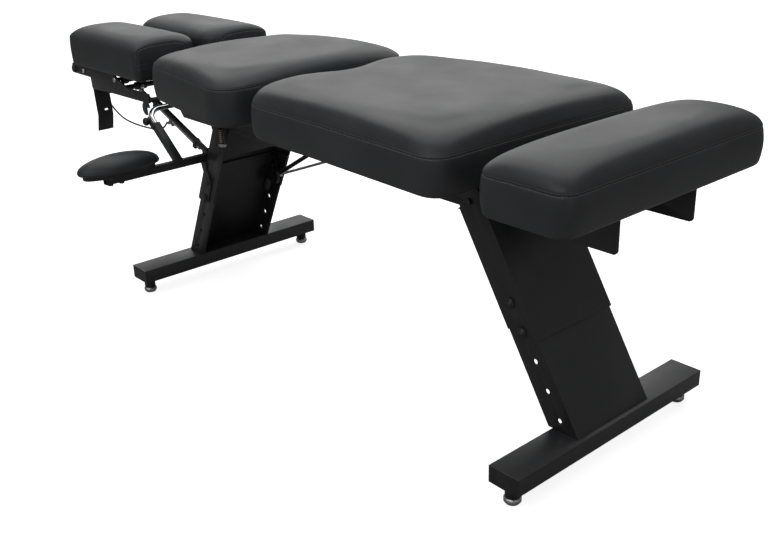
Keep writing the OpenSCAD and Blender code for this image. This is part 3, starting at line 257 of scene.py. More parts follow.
# each slot's material, made from the finish settings
FINISH = {
    "frame_black": lambda look: powder_coat("black_powder_coat", look.coat, look.coat_worn, rough=0.42),
    "chrome": lambda look: plated("bright_chrome", look.chrome, rough=0.07, streak=0.06),
    "zinc": lambda look: plated("bright_zinc", look.zinc, rough=0.26, streak=0.14),
    "spring_steel": lambda look: plated("spring_wire", look.spring, rough=0.3, streak=0.12),
    "grey_casting": lambda look: plated("grey_die_casting", look.casting, rough=0.42, streak=0.12, metal=0.6),
    "black_plastic": lambda look: moulded(
        "black_moulded_plastic", look.plastic, look.plastic_pale, rough=0.4, grain=0.1, scale=1500.0
    ),
    "rubber": lambda look: moulded(
        "black_rubber", look.rubber, look.rubber_pale, rough=0.7, grain=0.2, scale=900.0
    ),
    "vinyl": lambda look: vinyl("black_vinyl", look.vinyl, look.vinyl_pale, look.thread_and_highlight, rough=0.48),
    "plywood": lambda look: stained_ply("stained_plywood", look.ply, look.ply_pale, rough=0.6),
}
MATERIALS = {}


def finish_of(slot):
    """The slot's material, made once."""
    if slot not in MATERIALS:
        MATERIALS[slot] = FINISH[slot](bpy.context.scene.table_finish)
    return MATERIALS[slot]


# modelling

# points of a solid closer than this, in metres, are one point
SAME_POINT = 0.00002
# in degrees: faces flatter than the first are one face, and edges sharper than the second are rounded
FLAT_FACE = 0.6
SHARP_EDGE = 32


def clear():
    """Deselects everything, out of edit mode."""
    if bpy.context.object is not None and bpy.context.object.mode != "OBJECT":
        bpy.ops.object.mode_set(mode="OBJECT")
    bpy.ops.object.select_all(action="DESELECT")


def pick(obj):
    """Makes one object the selected and active one."""
    clear()
    obj.select_set(True)
    bpy.context.view_layer.objects.active = obj


def over_all(obj, operator, **values):
    """Runs a mesh operator over the whole of a piece in edit mode."""
    pick(obj)
    bpy.ops.object.mode_set(mode="EDIT")
    bpy.ops.mesh.select_all(action="SELECT")
    operator(**values)
    bpy.ops.object.mode_set(mode="OBJECT")


def new_piece(title, verts, faces):
    """A closed mesh as an object, with its faces turned outwards."""
    mesh = bpy.data.meshes.new(title)
    mesh.from_pydata(verts, [], faces)
    obj = bpy.data.objects.new(title, mesh)
    bpy.context.scene.collection.objects.link(obj)
    over_all(obj, bpy.ops.mesh.normals_make_consistent, inside=False)
    return obj


def copy_node(name):
    """A merged copy of a solid, as the start of a finished piece."""
    mesh = frame["nodes"][name].data.copy()
    obj = bpy.data.objects.new(name + "_piece", mesh)
    bpy.context.scene.collection.objects.link(obj)
    mesh.materials.clear()
    over_all(obj, bpy.ops.mesh.remove_doubles, threshold=SAME_POINT)
    return obj


def dress(obj, name):
    """Gives a finished piece the slot's material and the body of the solid that it stands for."""
    obj.data.materials.clear()
    obj.data.materials.append(finish_of(SLOT_OF[name]))
    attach(obj, BODY_OF[name])
    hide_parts(name)


def smooth(obj, degrees):
    """Shades a piece smooth, and leaves edges sharper than the angle crisp."""
    pick(obj)
    bpy.ops.object.shade_smooth_by_angle(angle=math.radians(degrees))


def apply_modifier(obj, kind, name, **values):
    pick(obj)
    mod = obj.modifiers.new(name, kind)
    for key, value in values.items():
        setattr(mod, key, value)
    bpy.ops.object.modifier_apply(modifier=mod.name)


def edged(name, width, segments=2):
    """A solid's copy with its flat faces cleaned and its edges rounded, as in rolled or pressed steel."""
    obj = copy_node(name)
    over_all(obj, bpy.ops.mesh.dissolve_limited, angle_limit=math.radians(FLAT_FACE))
    apply_modifier(
        obj,
        "BEVEL",
        "rounded",
        width=width,
        segments=segments,
        limit_method="ANGLE",
        angle_limit=math.radians(SHARP_EDGE),
        use_clamp_overlap=True,
        harden_normals=False,
    )
    smooth(obj, degrees=40)
    dress(obj, name)


def rounded(name):
    """A solid's copy with smooth round faces and crisp edges, as drawn tube and bar have them."""
    obj = copy_node(name)
    smooth(obj, degrees=30)
    dress(obj, name)


def band(rings, count):
    """The faces between rings of count points each, one ring after the next."""
    faces = []
    for r in range(rings - 1):
        for k in range(count):
            j = (k + 1) % count
            faces.append((r * count + k, r * count + j, (r + 1) * count + j, (r + 1) * count + k))
    return faces


# cushions


class Form(NamedTuple):
    """How one kind of cover is shaped and sewn; lengths in metres."""

    # height of the seam over the underside, and how tightly the cover is filled, from 0 to 1; the fill is not
    # used
    seam: float
    fill: float
    # times that the facets of the solid's outline are smoothed out
    passes: int
    # radius of the edge round the underside
    corner: float
    # how level the middle of the top is, and how gently the top comes down at its shoulder
    flat: float
    steep: float
    # how far the side stands out between underside and seam, and the width of the rings over the shoulder
    bulge: float = 0.004
    reach: float = 0.019
    # stretch of the plan along x, with which a loaf stays high to its ends
    loaf: float = 1.0
    # how far full foam stands proud of the solid across, and whether only towards the foot end
    wider: float = 0.0
    flare: bool = False
    # rim, ends or none; the depth of the seam's groove, and the height of the puckers beside it
    seams: str = "rim"
    depth: float = 0.0011
    pucker: float = 0.0008
    # share of the swell setting that the cover may take
    swell: float = 1.0


BODY_FORMS = {
    "foot_cushion": Form(seam=0.081, fill=0.8, passes=6, corner=0.012, flat=3.2, steep=0.52, wider=0.018),
    "pelvic_cushion": Form(
        seam=0.081, fill=0.8, passes=6, corner=0.01, flat=11.0, steep=0.55, wider=0.018, flare=True
    ),
    "chest_cushion": Form(seam=0.096, fill=0.8, passes=6, corner=0.012, flat=8.0, steep=0.55, wider=0.012),
}
FACE_FORM = Form(
    seam=0.088, fill=0.85, passes=1, corner=0.01, flat=1.7, steep=0.6, bulge=0.002, reach=0.007, loaf=7.0,
    wider=0.004, seams="ends", depth=0.0009, swell=0.6,
)
PAD_FORM = Form(
    seam=0.009, fill=0.7, passes=4, corner=0.004, flat=1.05, steep=0.55, bulge=0.0008, seams="none", swell=0.3
)

# a solid's points within this height of each other, in metres, are on one level
SAME_LEVEL = 0.0002
FEWEST_POINTS = 40

# an even panel of triangles, in shares of its spacing: its rows' distance, and the least distance to the rim
ROW = 0.866
OFF_RIM = 0.62
TOP_SPACING = 1.25
UNDERSIDE_SPACING = 4
LEAST_UNDERSIDE_SPACING = 0.02

# the membrane is solved in steps until the load that is left is this small
MEMBRANE_STEPS = 900
MEMBRANE_REST = 1e-22

# where the rings lie: angles round the underside's edge, shares up the side, and shares in over the shoulder
EDGE_TURNS = (0, 0.45, 0.9, 1.3)
SIDE = (0.06, 0.22, 0.4, 0.58, 0.74, 0.87, 0.94, 0.98)
SIDE_FULLNESS = 0.8
SHOULDER = (0.08, 0.21, 0.42, 0.68, 1.0)

CLOTH_FRAMES = 20
CLOTH = {
    "quality": 4,
    "mass": 0.35,
    "tension_stiffness": 18,
    "compression_stiffness": 18,
    "shear_stiffness": 8,
    "bending_stiffness": 1.2,
    "use_pressure": True,
    "uniform_pressure_force": 4.0,
    "vertex_group_mass": "sewn",
}
EVENING_PASSES = 45
EVENING_SHARE = 0.6

# a cover stops this far inside its solid's box, in metres
BOX_INSET = 0.0004

# a seam over a loaf: its start and sweep in half turns, its steps, and its distance from the end in metres
END_SEAM_START = -0.12
END_SEAM_SWEEP = 1.24
END_SEAM_STEPS = 96
END_SEAM_INSET = 0.004

# middle and width of the seam's groove, its lip and its two kinds of puckers, in metres; up is positive
GROOVE = (-0.0005, 0.0022)
LIP = (0.0045, 0.0028)
LIP_SHARE = 0.5
NEAR_PUCKER = (0.01, 0.01)
FAR_PUCKER = (-0.03, 0.02)
FAR_PUCKER_SHARE = 0.9
SEWN_REACH = 0.06
# waves per metre of the puckers along and across the seam, and what the puckers' seeds are made from
NEAR_WAVES = (24.0, 10.0)
FAR_WAVES = (7.0, 16.0)
FAR_SEED = 9.0
SEED_PER_LETTER = 3.7


def outline_of(name, height, step, passes):
    """A cushion's outline at a height: even points in order round it, with its facets smoothed out."""
    spots = [v.co.copy() for v in frame["nodes"][name].data.vertices]
    level = min((p.z for p in spots), key=lambda z: abs(z - height))
    flat = {(round(p.x, 5), round(p.y, 5)) for p in spots if abs(p.z - level) < SAME_LEVEL}
    points = [Vector(q) for q in flat]
    middle = sum(points, Vector((0, 0))) / len(points)
    points.sort(key=lambda q: math.atan2(q.y - middle.y, q.x - middle.x))
    sizes = [(b - a).length for a, b in zip(points, points[1:] + points[:1])]
    total = sum(sizes)
    count = max(FEWEST_POINTS, round(total / step))
    loop, i, past = [], 0, 0.0
    for k in range(count):
        want = total * k / count
        while past + sizes[i] < want:
            past += sizes[i]
            i += 1
        loop.append(points[i].lerp(points[(i + 1) % len(points)], (want - past) / sizes[i]))
    for _ in range(passes):
        loop = [0.5 * q + 0.25 * (loop[k - 1] + loop[(k + 1) % count]) for k, q in enumerate(loop)]
    return loop


def outward(loop):
    """The outward direction at each point of an outline that runs anticlockwise."""
    count = len(loop)
    along = [loop[(k + 1) % count] - loop[k - 1] for k in range(count)]
    return [Vector((t.y, -t.x)).normalized() for t in along]


def panel(loop, spacing):
    """A triangle mesh inside an outline: its points after the outline's own, and its faces."""
    count = len(loop)
    ring = np.array([(q.x, q.y) for q in loop])
    low, high = ring.min(0), ring.max(0)
    ax, ay = ring[:, 0], ring[:, 1]
    bx, by = np.roll(ax, -1), np.roll(ay, -1)
    spots = []
    for k, y in enumerate(np.arange(low[1] + spacing / 2, high[1], spacing * ROW)):
        cross = (ay > y) != (by > y)
        cuts = ax[cross] + (y - ay[cross]) * (bx[cross] - ax[cross]) / (by[cross] - ay[cross])
        for x in np.arange(low[0] + (0.25 + 0.5 * (k % 2)) * spacing, high[0], spacing):
            inside = (cuts > x).sum() % 2
            if inside and ((ring - (x, y)) ** 2).sum(1).min() > (spacing * OFF_RIM) ** 2:
                spots.append(Vector((float(x), float(y))))
    points, _, faces, origins, _, _ = delaunay_2d_cdt(loop + spots, [], [list(range(count))], 1, 1e-7)
    if len(points) != count + len(spots):
        raise RuntimeError("the panel's outline crosses itself")
    order = [o[0] for o in origins]
    return spots, [tuple(order[v] for v in f) for f in faces]


def membrane(points, triangles, held):
    """Heights of an evenly pressed membrane over a flat triangle mesh, with its top at 1."""
    spots, corners, count = np.array(points), np.array(triangles), len(points)
    load = np.zeros(count)
    first, second, weight = [], [], []
    for a, b, c in ((0, 1, 2), (1, 2, 0), (2, 0, 1)):
        u = spots[corners[:, b]] - spots[corners[:, a]]
        v = spots[corners[:, c]] - spots[corners[:, a]]
        double = np.maximum(abs(u[:, 0] * v[:, 1] - u[:, 1] * v[:, 0]), 1e-12)
        first.append(corners[:, b])
        second.append(corners[:, c])
        weight.append((u * v).sum(1) / double / 2)
        load += np.bincount(corners[:, a], double / 6, count)
    first, second, weight = np.concatenate(first), np.concatenate(second), np.concatenate(weight)
    free = np.ones(count)
    free[held] = 0
    # conjugate gradients
    rise = np.zeros(count)
    left = load * free
    way, size = left.copy(), left @ left
    for _ in range(MEMBRANE_STEPS):
        pull = weight * (way[first] - way[second])
        pull = (np.bincount(first, pull, count) - np.bincount(second, pull, count)) * free
        step = size / (way @ pull)
        rise += step * way
        left -= step * pull
        now = left @ left
        if now < MEMBRANE_REST:
            break
        way = left + now / size * way
        size = now
    return rise / rise.max()


def shell(title, loop, base, crown, spacing, form):
    """A cushion's cover: flat underside, rounded edge, full side, and a top that domes up from the seam."""
    count = len(loop)
    out = outward(loop)
    seam, corner = base + form.seam, form.corner
    levels = [(-corner + corner * math.sin(q), base + corner - corner * math.cos(q)) for q in EDGE_TURNS]
    rest = seam - base - corner
    for t in SIDE:
        levels.append((form.bulge * math.sin(math.pi * t) ** SIDE_FULLNESS, base + corner + rest * t))
    levels.append((0.0, seam))
    verts = [(q.x + n.x * o, q.y + n.y * o, z) for o, z in levels for q, n in zip(loop, out)]
    faces = band(len(levels), count)
    seam_at = (len(levels) - 1) * count
    # top panel: rings over the shoulder, then the field inside them
    steps = [d * form.reach for d in SHOULDER]
    inner = [q - n * steps[-1] for q, n in zip(loop, out)]
    field, field_faces = panel(inner, spacing)
    top = [Vector(q) for q in loop] + [q - n * d for d in steps for q, n in zip(loop, out)] + field
    top_faces = band(len(steps) + 1, count)
    tris = [(a, b, c) for a, b, c, d in top_faces] + [(a, c, d) for a, b, c, d in top_faces]
    field_faces = [tuple(v + len(steps) * count for v in f) for f in field_faces]
    rise = membrane([(q.x * form.loaf, q.y) for q in top], tris + field_faces, list(range(count)))
    domed = (1 - (1 - np.clip(rise, 0, 1)) ** form.flat) ** form.steep
    verts += [(q.x, q.y, seam + (crown - seam) * float(h)) for q, h in zip(top[count:], domed[count:])]
    faces += [tuple(v + seam_at for v in f) for f in top_faces + field_faces]
    # underside
    foot = [Vector(v[:2]) for v in verts[:count]]
    spots, foot_faces = panel(foot, max(spacing * UNDERSIDE_SPACING, LEAST_UNDERSIDE_SPACING))
    offset = len(verts) - count
    verts += [(q.x, q.y, base) for q in spots]
    faces += [tuple(reversed([v if v < count else offset + v for v in f])) for f in foot_faces]
    return new_piece(title, verts, faces), list(range(seam_at, seam_at + count))


def swell(obj, held, cap):
    """Blows the foam up with Cloth, held at the seam and the underside, and caps how far it moves."""
    rest = [v.co.copy() for v in obj.data.vertices]
    obj.vertex_groups.new(name="sewn").add(held, 1.0, "ADD")
    mod = obj.modifiers.new("cover", "CLOTH")
    for key, value in CLOTH.items():
        setattr(mod.settings, key, value)
    mod.settings.effector_weights.gravity = 0
    mod.point_cache.frame_start = 1
    mod.point_cache.frame_end = CLOTH_FRAMES
    scene = bpy.context.scene
    for step in range(1, CLOTH_FRAMES + 1):
        scene.frame_set(step)
    pick(obj)
    bpy.ops.object.modifier_apply(modifier=mod.name)
    scene.frame_set(1)
    # the foam evens out the folds: each point takes its neighbours' movement, many times over
    count = len(rest)
    moved = np.array([v.co - was for v, was in zip(obj.data.vertices, rest)])
    ends = np.array([e.vertices[:] for e in obj.data.edges])
    both = np.concatenate([ends, ends[:, ::-1]])
    near = np.maximum(np.bincount(both[:, 0], minlength=count), 1)
    for _ in range(EVENING_PASSES):
        around = np.stack([np.bincount(both[:, 0], moved[both[:, 1], i], count) / near for i in range(3)], 1)
        moved = (1 - EVENING_SHARE) * moved + EVENING_SHARE * around
        moved[held] = 0
    reach = np.maximum(np.linalg.norm(moved, axis=1, keepdims=True), 1e-9)
    moved *= np.minimum(1, cap / reach)
    for v, was, move in zip(obj.data.vertices, rest, moved):
        v.co = was + Vector(move)
    obj.vertex_groups.clear()


def ends_of(spots):
    """The lowest and the highest corner of the box round some points."""
    low = Vector([min(p[i] for p in spots) for i in range(3)])
    high = Vector([max(p[i] for p in spots) for i in range(3)])
    return low, high


def fill_box(obj, name, wider, flare):
    """Stretches a cover to fill its solid's box, with full foam proud across, or flaring to its foot end."""
    low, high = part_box(name)
    spots = [v.co.copy() for v in obj.data.vertices]
    first, last = ends_of(spots)
    for v, p in zip(obj.data.vertices, spots):
        shares = [(p[i] - first[i]) / (last[i] - first[i]) for i in range(3)]
        proud = (0.0, wider * (shares[0] if flare else 1.0), 0.0)
        for i in range(3):
            room = high[i] - low[i] - 2 * BOX_INSET + 2 * proud[i]
            v.co[i] = low[i] + BOX_INSET - proud[i] + shares[i] * room


def end_seams(obj):
    """Lines over a loaf-shaped cover, close to each end: up one side, over the top and down the other."""
    mesh = obj.data
    spots = [v.co.copy() for v in mesh.vertices]
    tree = BVHTree.FromPolygons(spots, [tuple(f.vertices) for f in mesh.polygons])
    low, high = ends_of(spots)
    middle = (low + high) / 2
    lines = []
    for x in (low.x + END_SEAM_INSET, high.x - END_SEAM_INSET):
        line = []
        for k in range(END_SEAM_STEPS + 1):
            turn = math.pi * (k / END_SEAM_STEPS * END_SEAM_SWEEP + END_SEAM_START)
            way = Vector((0, -math.cos(turn) * (high.y - low.y), math.sin(turn) * (high.z - low.z)))
            hit = tree.ray_cast(Vector((x, middle.y, middle.z)), way.normalized())[0]
            if hit is not None:
                line.append(hit)
        lines.append(line)
    return lines


def hill(x, middle, width):
    """A smooth hill of height 1."""
    return math.exp(-(((x - middle) / width) ** 2))


def sew(obj, lines, depth, pucker, seed):
    """Draws seams into the cover: a groove with a soft lip, puckers, and the stitches' attributes."""
    mesh = obj.data
    gap = mesh.attributes.new("seam_gap", "FLOAT", "POINT")
    along = mesh.attributes.new("seam_run", "FLOAT", "POINT")
    dense, run, total = [], [], 0.0
    for line in lines:
        for a, b in zip(line, line[1:]):
            for i in range(3):
                dense.append(a.lerp(b, i / 3))
                run.append(total + (b - a).length * i / 3)
            total += (b - a).length
    if not dense:
        for v in mesh.vertices:
            gap.data[v.index].value = 1.0
        return
    tree = KDTree(len(dense))
    for i, p in enumerate(dense):
        tree.insert(p, i)
    tree.balance()
    normals = [v.normal.copy() for v in mesh.vertices]
    for v, n in zip(mesh.vertices, normals):
        near, i, far = tree.find(v.co)
        side = far if v.co.z > near.z else -far
        gap.data[v.index].value = side
        along.data[v.index].value = run[i]
        if far < SEWN_REACH:
            groove = depth * hill(side, *GROOVE)
            lip = depth * LIP_SHARE * hill(side, *LIP)
            wave = noise.noise(Vector((run[i] * NEAR_WAVES[0], side * NEAR_WAVES[1], seed)))
            slow = noise.noise(Vector((run[i] * FAR_WAVES[0], side * FAR_WAVES[1], seed + FAR_SEED)))
            fold = pucker * wave * hill(far, *NEAR_PUCKER)
            fold += pucker * FAR_PUCKER_SHARE * slow * hill(side, *FAR_PUCKER)
            v.co -= n * (groove - lip - fold)


def upholster(name, form, step, cap):
    """One cushion: rings and panels drawn on its solid's outline, blown up, subdivided, fitted and sewn."""
    low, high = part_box(name)
    base, crown = low[2], high[2]
    loop = outline_of(name, base + form.seam, step, form.passes)
    obj, seam = shell(name + "_cover", loop, base, crown, step * TOP_SPACING, form)
    held = seam + [v.index for v in obj.data.vertices if v.co.z < base + form.corner * 0.5]
    swell(obj, held, cap * form.swell)
    apply_modifier(obj, "SUBSURF", "soft", levels=1, render_levels=1)
    fill_box(obj, name, form.wider, form.flare)
    lines = []
    if form.seams == "rim":
        lines = [[obj.data.vertices[i].co.copy() for i in seam + seam[:1]]]
    if form.seams == "ends":
        lines = end_seams(obj)
    sew(obj, lines, form.depth, form.pucker, len(name) * SEED_PER_LETTER)
    pick(obj)
    bpy.ops.object.shade_smooth()
    dress(obj, name)


# cable

# the release cable's sheath in metres, and its route in mm from the middle between the base bars
SHEATH_RADIUS = 0.0026
SHEATH_SIDES = 12
SHEATH_STEPS = 6
CABLE_ROUTE = [
    (-1150, -138, 545), (-1148, -138, 524), (-1133, -138, 494), (-1109, -138, 473), (-1080, -137, 457),
    (-1046, -133, 442), (-1009, -127, 434), (-966, -119, 429), (-923, -112, 428), (-892, -107, 430),
    (-867, -104, 435), (-845, -103.5, 445), (-829.3, -103.5, 458.7),
]


def smooth_path(points, steps):
    """A smooth line through all points, with a number of steps between each two."""
    path = []
    for i in range(len(points) - 1):
        a, b = points[max(i - 1, 0)], points[i]
        c, d = points[i + 1], points[min(i + 2, len(points) - 1)]
        for k in range(steps):
            t = k / steps
            square = (2 * a - 5 * b + 4 * c - d) * t * t
            cube = (3 * b - 3 * c + d - a) * t ** 3
            path.append(0.5 * (2 * b + (c - a) * t + square + cube))
    path.append(points[-1])
    return path


def tube(title, path, radius, sides):
    """A round tube with closed ends along a path that lies nearly in one upright plane."""
    verts = []
    for i, p in enumerate(path):
        ahead = (path[min(i + 1, len(path) - 1)] - path[max(i - 1, 0)]).normalized()
        across = ahead.cross(Vector((0, 1, 0))).normalized()
        other = across.cross(ahead).normalized()
        for k in range(sides):
            q = 2 * math.pi * k / sides
            verts.append(p + radius * (math.cos(q) * across + math.sin(q) * other))
    faces = band(len(path), sides)
    faces.append(tuple(range(sides - 1, -1, -1)))
    faces.append(tuple((len(path) - 1) * sides + k for k in range(sides)))
    return new_piece(title, verts, faces)


# stage: places and sizes in metres

FLOOR_SIZE = 30
# the floor lies this far under the glides, so that the two don't share a plane
FLOOR_DROP = 0.0004
# the floor's shade in the light on the table, and the paler shade that the camera sees
FLOOR_SHADE = (0.4, 0.4, 0.4)
FLOOR_SEEN = (0.9, 0.9, 0.9)

SENSOR_WIDTH_MM = 36.0
FURTHEST_SEEN = 60

# each softbox: its name, its place, what it points at, its width and height, and its share of the key light
LAMPS = (
    ("window", (-5.7, 4.3, 2.4), (0, 0, 0.65), (8.0, 3.0), 1.5),
    ("overhead", (-0.9, 1.1, 3.0), (0, 0, 0.6), (4.4, 3.6), 1.0),
    ("near_fill", (0.7, -2.4, 2.7), (0, 0, 0.6), (3.8, 1.8), 0.4),
    ("foot_fill", (3.6, -0.6, 1.3), (0.8, 0, 0.5), (1.6, 1.6), 0.06),
)


def set_camera(scene, look):
    """The photograph's camera."""
    data = bpy.data.cameras.new("photo_camera")
    data.lens = look.lens
    data.sensor_width = SENSOR_WIDTH_MM
    data.sensor_fit = "HORIZONTAL"
    data.clip_end = FURTHEST_SEEN
    camera = bpy.data.objects.new("photo_camera", data)
    scene.collection.objects.link(camera)
    level = math.pi / 2
    turn = Matrix.Rotation(look.heading - level, 4, "Z") @ Matrix.Rotation(level - look.dip, 4, "X")
    turn = turn @ Matrix.Rotation(look.roll, 4, "Z")
    camera.matrix_world = Matrix.Translation(Vector(look.position)) @ turn
    scene.camera = camera


def lay_floor(glow):
    """A floor that the camera sees as white paper, with the table's shadow on it."""
    clear()
    bpy.ops.mesh.primitive_plane_add(size=FLOOR_SIZE, location=(0, 0, -FLOOR_DROP))
    floor = bpy.context.object
    floor.name = "floor"
    mat, tree, shader = new_material("white_floor")
    seen = tree.nodes.new("ShaderNodeLightPath").outputs["Is Camera Ray"]
    tree.links.new(mixed(tree, seen, FLOOR_SHADE, FLOOR_SEEN), shader.inputs["Base Color"])
    shader.inputs["Roughness"].default_value = 0.9
    shader.inputs["Specular IOR Level"].default_value = 0.0
    shader.inputs["Emission Color"].default_value = (1, 1, 1, 1)
    tree.links.new(ramp(tree, seen, 0.0, 1.0, 0.0, glow), shader.inputs["Emission Strength"])
    floor.data.materials.append(mat)


def light_room(scene, sky):
    """Even light all round, which the camera sees as white."""
    world = bpy.data.worlds.new("white_room")
    scene.world = world
    world.use_nodes = True
    tree = world.node_tree
    back = tree.nodes["Background"]
    rays = tree.nodes.new("ShaderNodeLightPath")
    seen = math_node(tree, "MAXIMUM", rays.outputs["Is Camera Ray"], rays.outputs["Is Transmission Ray"])
    tree.links.new(ramp(tree, seen, 0.0, 1.0, sky, 1.0), back.inputs["Strength"])
    back.inputs["Color"].default_value = (1, 1, 1, 1)


def hang_lamps(scene, key):
    """The softboxes."""
    for name, at, aim, size, share in LAMPS:
        lamp = bpy.data.lights.new(name, "AREA")
        lamp.shape = "RECTANGLE"
        lamp.size, lamp.size_y = size
        lamp.energy = key * share
        item = bpy.data.objects.new(name, lamp)
        item.location = at
        item.rotation_euler = (Vector(aim) - Vector(at)).to_track_quat("-Z", "Y").to_euler()
        scene.collection.objects.link(item)


# settings


class CameraLook(bpy.types.PropertyGroup):
    """The photograph's camera and its light."""

    position: bpy.props.FloatVectorProperty(
        name="Position", description="Place of the camera in the row frame", size=3,
        default=(1.94526, -1.47939, 1.16417), unit="LENGTH",
    )
    heading: bpy.props.FloatProperty(
        name="Heading", description="Direction of view in plan, from the foot end round towards the far side",
        default=math.radians(139.21454), unit="ROTATION",
    )
    dip: bpy.props.FloatProperty(
        name="Dip", description="How far the camera looks down", default=math.radians(22.84662),
        unit="ROTATION",
    )
    roll: bpy.props.FloatProperty(
        name="Roll", description="Turn about the direction of view", default=math.radians(-1.85348),
        unit="ROTATION",
    )
    lens: bpy.props.FloatProperty(
        name="Lens", description="Focal length in mm on a 36 mm wide frame", default=44.9028,
    )
    key: bpy.props.FloatProperty(
        name="Key light", description="Power that the softboxes share, in watts", default=60.0,
    )
    sky: bpy.props.FloatProperty(
        name="Room light", description="Strength of the even light all round", default=0.2,
    )
    floor: bpy.props.FloatProperty(
        name="Floor glow", description="White that the floor adds to its own shade", default=0.8,
    )


class CoverLook(bpy.types.PropertyGroup):
    """How the cushions are made."""

    step: bpy.props.FloatProperty(
        name="Mesh size", description="Spacing of the mesh under the large covers",
        default=0.0065, unit="LENGTH",
    )
    small_step: bpy.props.FloatProperty(
        name="Small mesh size", description="Spacing of the mesh under the small covers",
        default=0.005, unit="LENGTH",
    )
    cap: bpy.props.FloatProperty(
        name="Swell", description="The furthest that a point of a cover may move out",
        default=0.004, unit="LENGTH",
    )


class SteelLook(bpy.types.PropertyGroup):
    """How the steel parts are finished."""

    edge: bpy.props.FloatProperty(
        name="Edge radius", description="Rounding of the steel parts' edges", default=0.0009,
        unit="LENGTH",
    )
    bar_edge: bpy.props.FloatProperty(
        name="Bar edge radius", description="Rounding of the base bars' corners", default=0.003,
        unit="LENGTH",
    )


def colour(name, description, *default):
    """A colour setting."""
    return bpy.props.FloatVectorProperty(
        name=name, description=description, size=3, default=default, min=0.0, max=1.0, subtype="COLOR"
    )


class FinishLook(bpy.types.PropertyGroup):
    """The colours of the finishes."""

    vinyl: colour("Vinyl", "Colour of the covers", 0.029, 0.03, 0.033)
    vinyl_pale: colour("Vinyl, pale", "Paler mottling of the covers", 0.04, 0.042, 0.046)
    # the stitches' pale thread, which also paints a highlight along the seams
    thread_and_highlight: colour("Thread_and_highlight", "Colour of the stitches", 0.09, 0.09, 0.094)
    coat: colour("Powder coat", "Colour of the frame", 0.018, 0.0185, 0.02)
    coat_worn: colour("Powder coat, worn", "Dust and worn edges of the frame", 0.045, 0.046, 0.05)
    chrome: colour("Chrome", "Colour of tubes and rods", 0.82, 0.83, 0.85)
    zinc: colour("Zinc", "Colour of bolts and nuts", 0.62, 0.62, 0.61)
    spring: colour("Spring wire", "Colour of the tension spring", 0.42, 0.37, 0.29)
    casting: colour("Casting", "Colour of the die castings", 0.36, 0.38, 0.39)
    plastic: colour("Plastic", "Colour of the moulded plastic", 0.012, 0.012, 0.013)
    plastic_pale: colour("Plastic, pale", "Paler cloud in the moulded plastic", 0.028, 0.028, 0.03)
    rubber: colour("Rubber", "Colour of the stops", 0.014, 0.014, 0.014)
    rubber_pale: colour("Rubber, pale", "Paler cloud in the rubber", 0.03, 0.03, 0.03)
    ply: colour("Plywood", "Colour of the stained boards", 0.012, 0.011, 0.01)
    ply_pale: colour("Plywood, pale", "Paler figure of the stained boards", 0.034, 0.03, 0.027)


# operators


class TABLE_OT_stage(bpy.types.Operator):
    """Camera, floor, white surroundings and soft studio light"""

    bl_idname = "table.stage"
    bl_label = "Stage"

    def execute(self, context):
        look = context.scene.table_camera
        context.scene.view_settings.view_transform = "Standard"
        set_camera(context.scene, look)
        lay_floor(look.floor)
        light_room(context.scene, look.sky)
        hang_lamps(context.scene, look.key)
        return {"FINISHED"}


class TABLE_OT_release_cable(bpy.types.Operator):
    """The thin sheathed cable that hangs from the release lever to the lock strut"""

    bl_idname = "table.release_cable"
    bl_label = "Release cable"

    def execute(self, context):
        path = smooth_path([place(*p) for p in CABLE_ROUTE], SHEATH_STEPS)
        obj = tube("release_cable_sheath", path, SHEATH_RADIUS, SHEATH_SIDES)
        smooth(obj, degrees=50)
        obj.data.materials.append(finish_of("black_plastic"))
        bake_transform(obj)
        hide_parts("release_cable")
        return {"FINISHED"}


class TABLE_OT_body_cushions(bpy.types.Operator):
    """Foot, pelvic and chest cushions"""

    bl_idname = "table.body_cushions"
    bl_label = "Body cushions"

    def execute(self, context):
        look = context.scene.table_covers
        for name, form in BODY_FORMS.items():
            upholster(name, form, look.step, look.cap)
        return {"FINISHED"}


class TABLE_OT_face_cushions(bpy.types.Operator):
    """The two loaf-shaped face cushions"""

    bl_idname = "table.face_cushions"
    bl_label = "Face cushions"

    def execute(self, context):
        look = context.scene.table_covers
        for name in ("near_face_cushion", "far_face_cushion"):
            upholster(name, FACE_FORM, look.small_step, look.cap)
        return {"FINISHED"}


class TABLE_OT_arm_pads(bpy.types.Operator):
    """The two domed armrest pads"""

    bl_idname = "table.arm_pads"
    bl_label = "Armrest pads"

    def execute(self, context):
        look = context.scene.table_covers
        for name in ("near_arm_pad", "far_arm_pad"):
            upholster(name, PAD_FORM, look.small_step, look.cap)
        return {"FINISHED"}


class TABLE_OT_steel(bpy.types.Operator):
    """Channels, rails, plates and brackets, the boards, and the flat parts of the drop gear"""

    bl_idname = "table.steel"
    bl_label = "Steel frame"

    def execute(self, context):
        look = context.scene.table_steel
        for name in ("head_base_bar", "foot_base_bar"):
            edged(name, look.bar_edge, segments=3)
        for name in (
            "head_post", "foot_post", "head_sleeve", "foot_sleeve", "cross_plates", "rails", "cross_members",
            "foot_plates", "head_plates", "paper_brackets", "arm_crossbar", "arm_straps", "arm_boards",
            "sockets", "chest_frame", "spring_tab", "pelvic_frame", "lock_bar", "lock_bracket",
            "cocking_bracket", "foot_board", "chest_board", "pelvic_board", "near_face_board",
            "far_face_board", "chest_wing_nut", "chest_link",
        ):
            edged(name, look.edge)
        return {"FINISHED"}


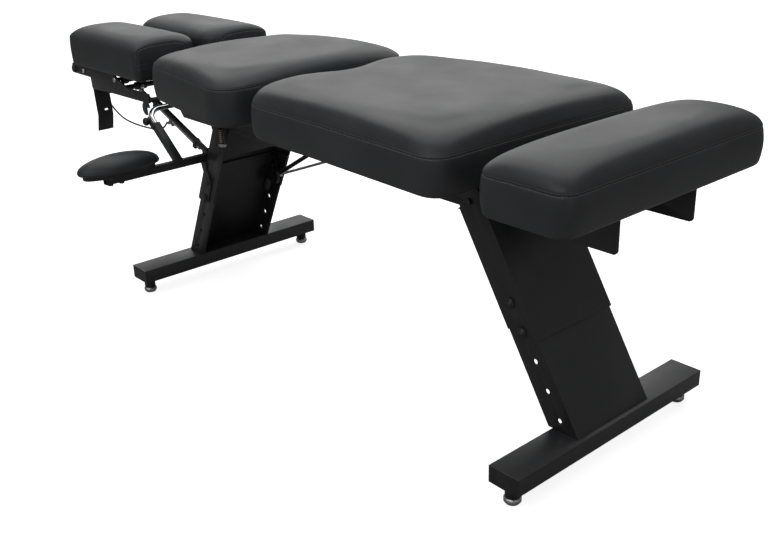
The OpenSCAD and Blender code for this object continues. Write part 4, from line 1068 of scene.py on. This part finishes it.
class TABLE_OT_round_stock(bpy.types.Operator):
    """Tube and rods, bolts, bearings, levers, knobs, the spring, stops, caps and glides"""

    bl_idname = "table.round_stock"
    bl_label = "Tube, rods and bolts"

    def execute(self, context):
        for name in (
            "brace_tube", "lock_rod", "guide_rods", "head_cross_tubes", "pelvic_link", "leg_bolts",
            "rail_bolts", "drop_bumpers", "near_face_bearings", "far_face_bearings", "release_lever",
            "chest_spring",
            "near_clamp_knob", "far_clamp_knob", "cocking_lever", "cocking_knob", "bar_end_caps",
            "glide_bushes", "near_head_glide", "far_head_glide", "near_foot_glide", "far_foot_glide",
        ):
            rounded(name)
        return {"FINISHED"}


class TABLE_PT_panel(bpy.types.Panel):
    """Everything that dresses the table"""

    bl_label = "Chiropractic table"
    bl_idname = "TABLE_PT_panel"
    bl_space_type = "VIEW_3D"
    bl_region_type = "UI"
    bl_category = "Table"

    def draw(self, context):
        for setting in SETTINGS:
            group = getattr(context.scene, setting)
            for key in group.__annotations__:
                self.layout.prop(group, key)
        for operator in OPERATORS:
            self.layout.operator(operator.bl_idname)


SETTINGS = {
    "table_camera": CameraLook,
    "table_covers": CoverLook,
    "table_steel": SteelLook,
    "table_finish": FinishLook,
}
OPERATORS = (
    TABLE_OT_stage,
    TABLE_OT_release_cable,
    TABLE_OT_body_cushions,
    TABLE_OT_face_cushions,
    TABLE_OT_arm_pads,
    TABLE_OT_steel,
    TABLE_OT_round_stock,
)
CLASSES = (*SETTINGS.values(), *OPERATORS, TABLE_PT_panel)


def register():
    for item in CLASSES:
        bpy.utils.register_class(item)
    for setting, group in SETTINGS.items():
        setattr(bpy.types.Scene, setting, bpy.props.PointerProperty(type=group))


def unregister():
    for setting in SETTINGS:
        delattr(bpy.types.Scene, setting)
    for item in reversed(CLASSES):
        bpy.utils.unregister_class(item)


def main():
    register()
    bpy.ops.table.stage()
    bpy.ops.table.release_cable()
    bpy.ops.table.body_cushions()
    bpy.ops.table.face_cushions()
    bpy.ops.table.arm_pads()
    bpy.ops.table.steel()
    bpy.ops.table.round_stock()


if __name__ == "__main__":
    main()
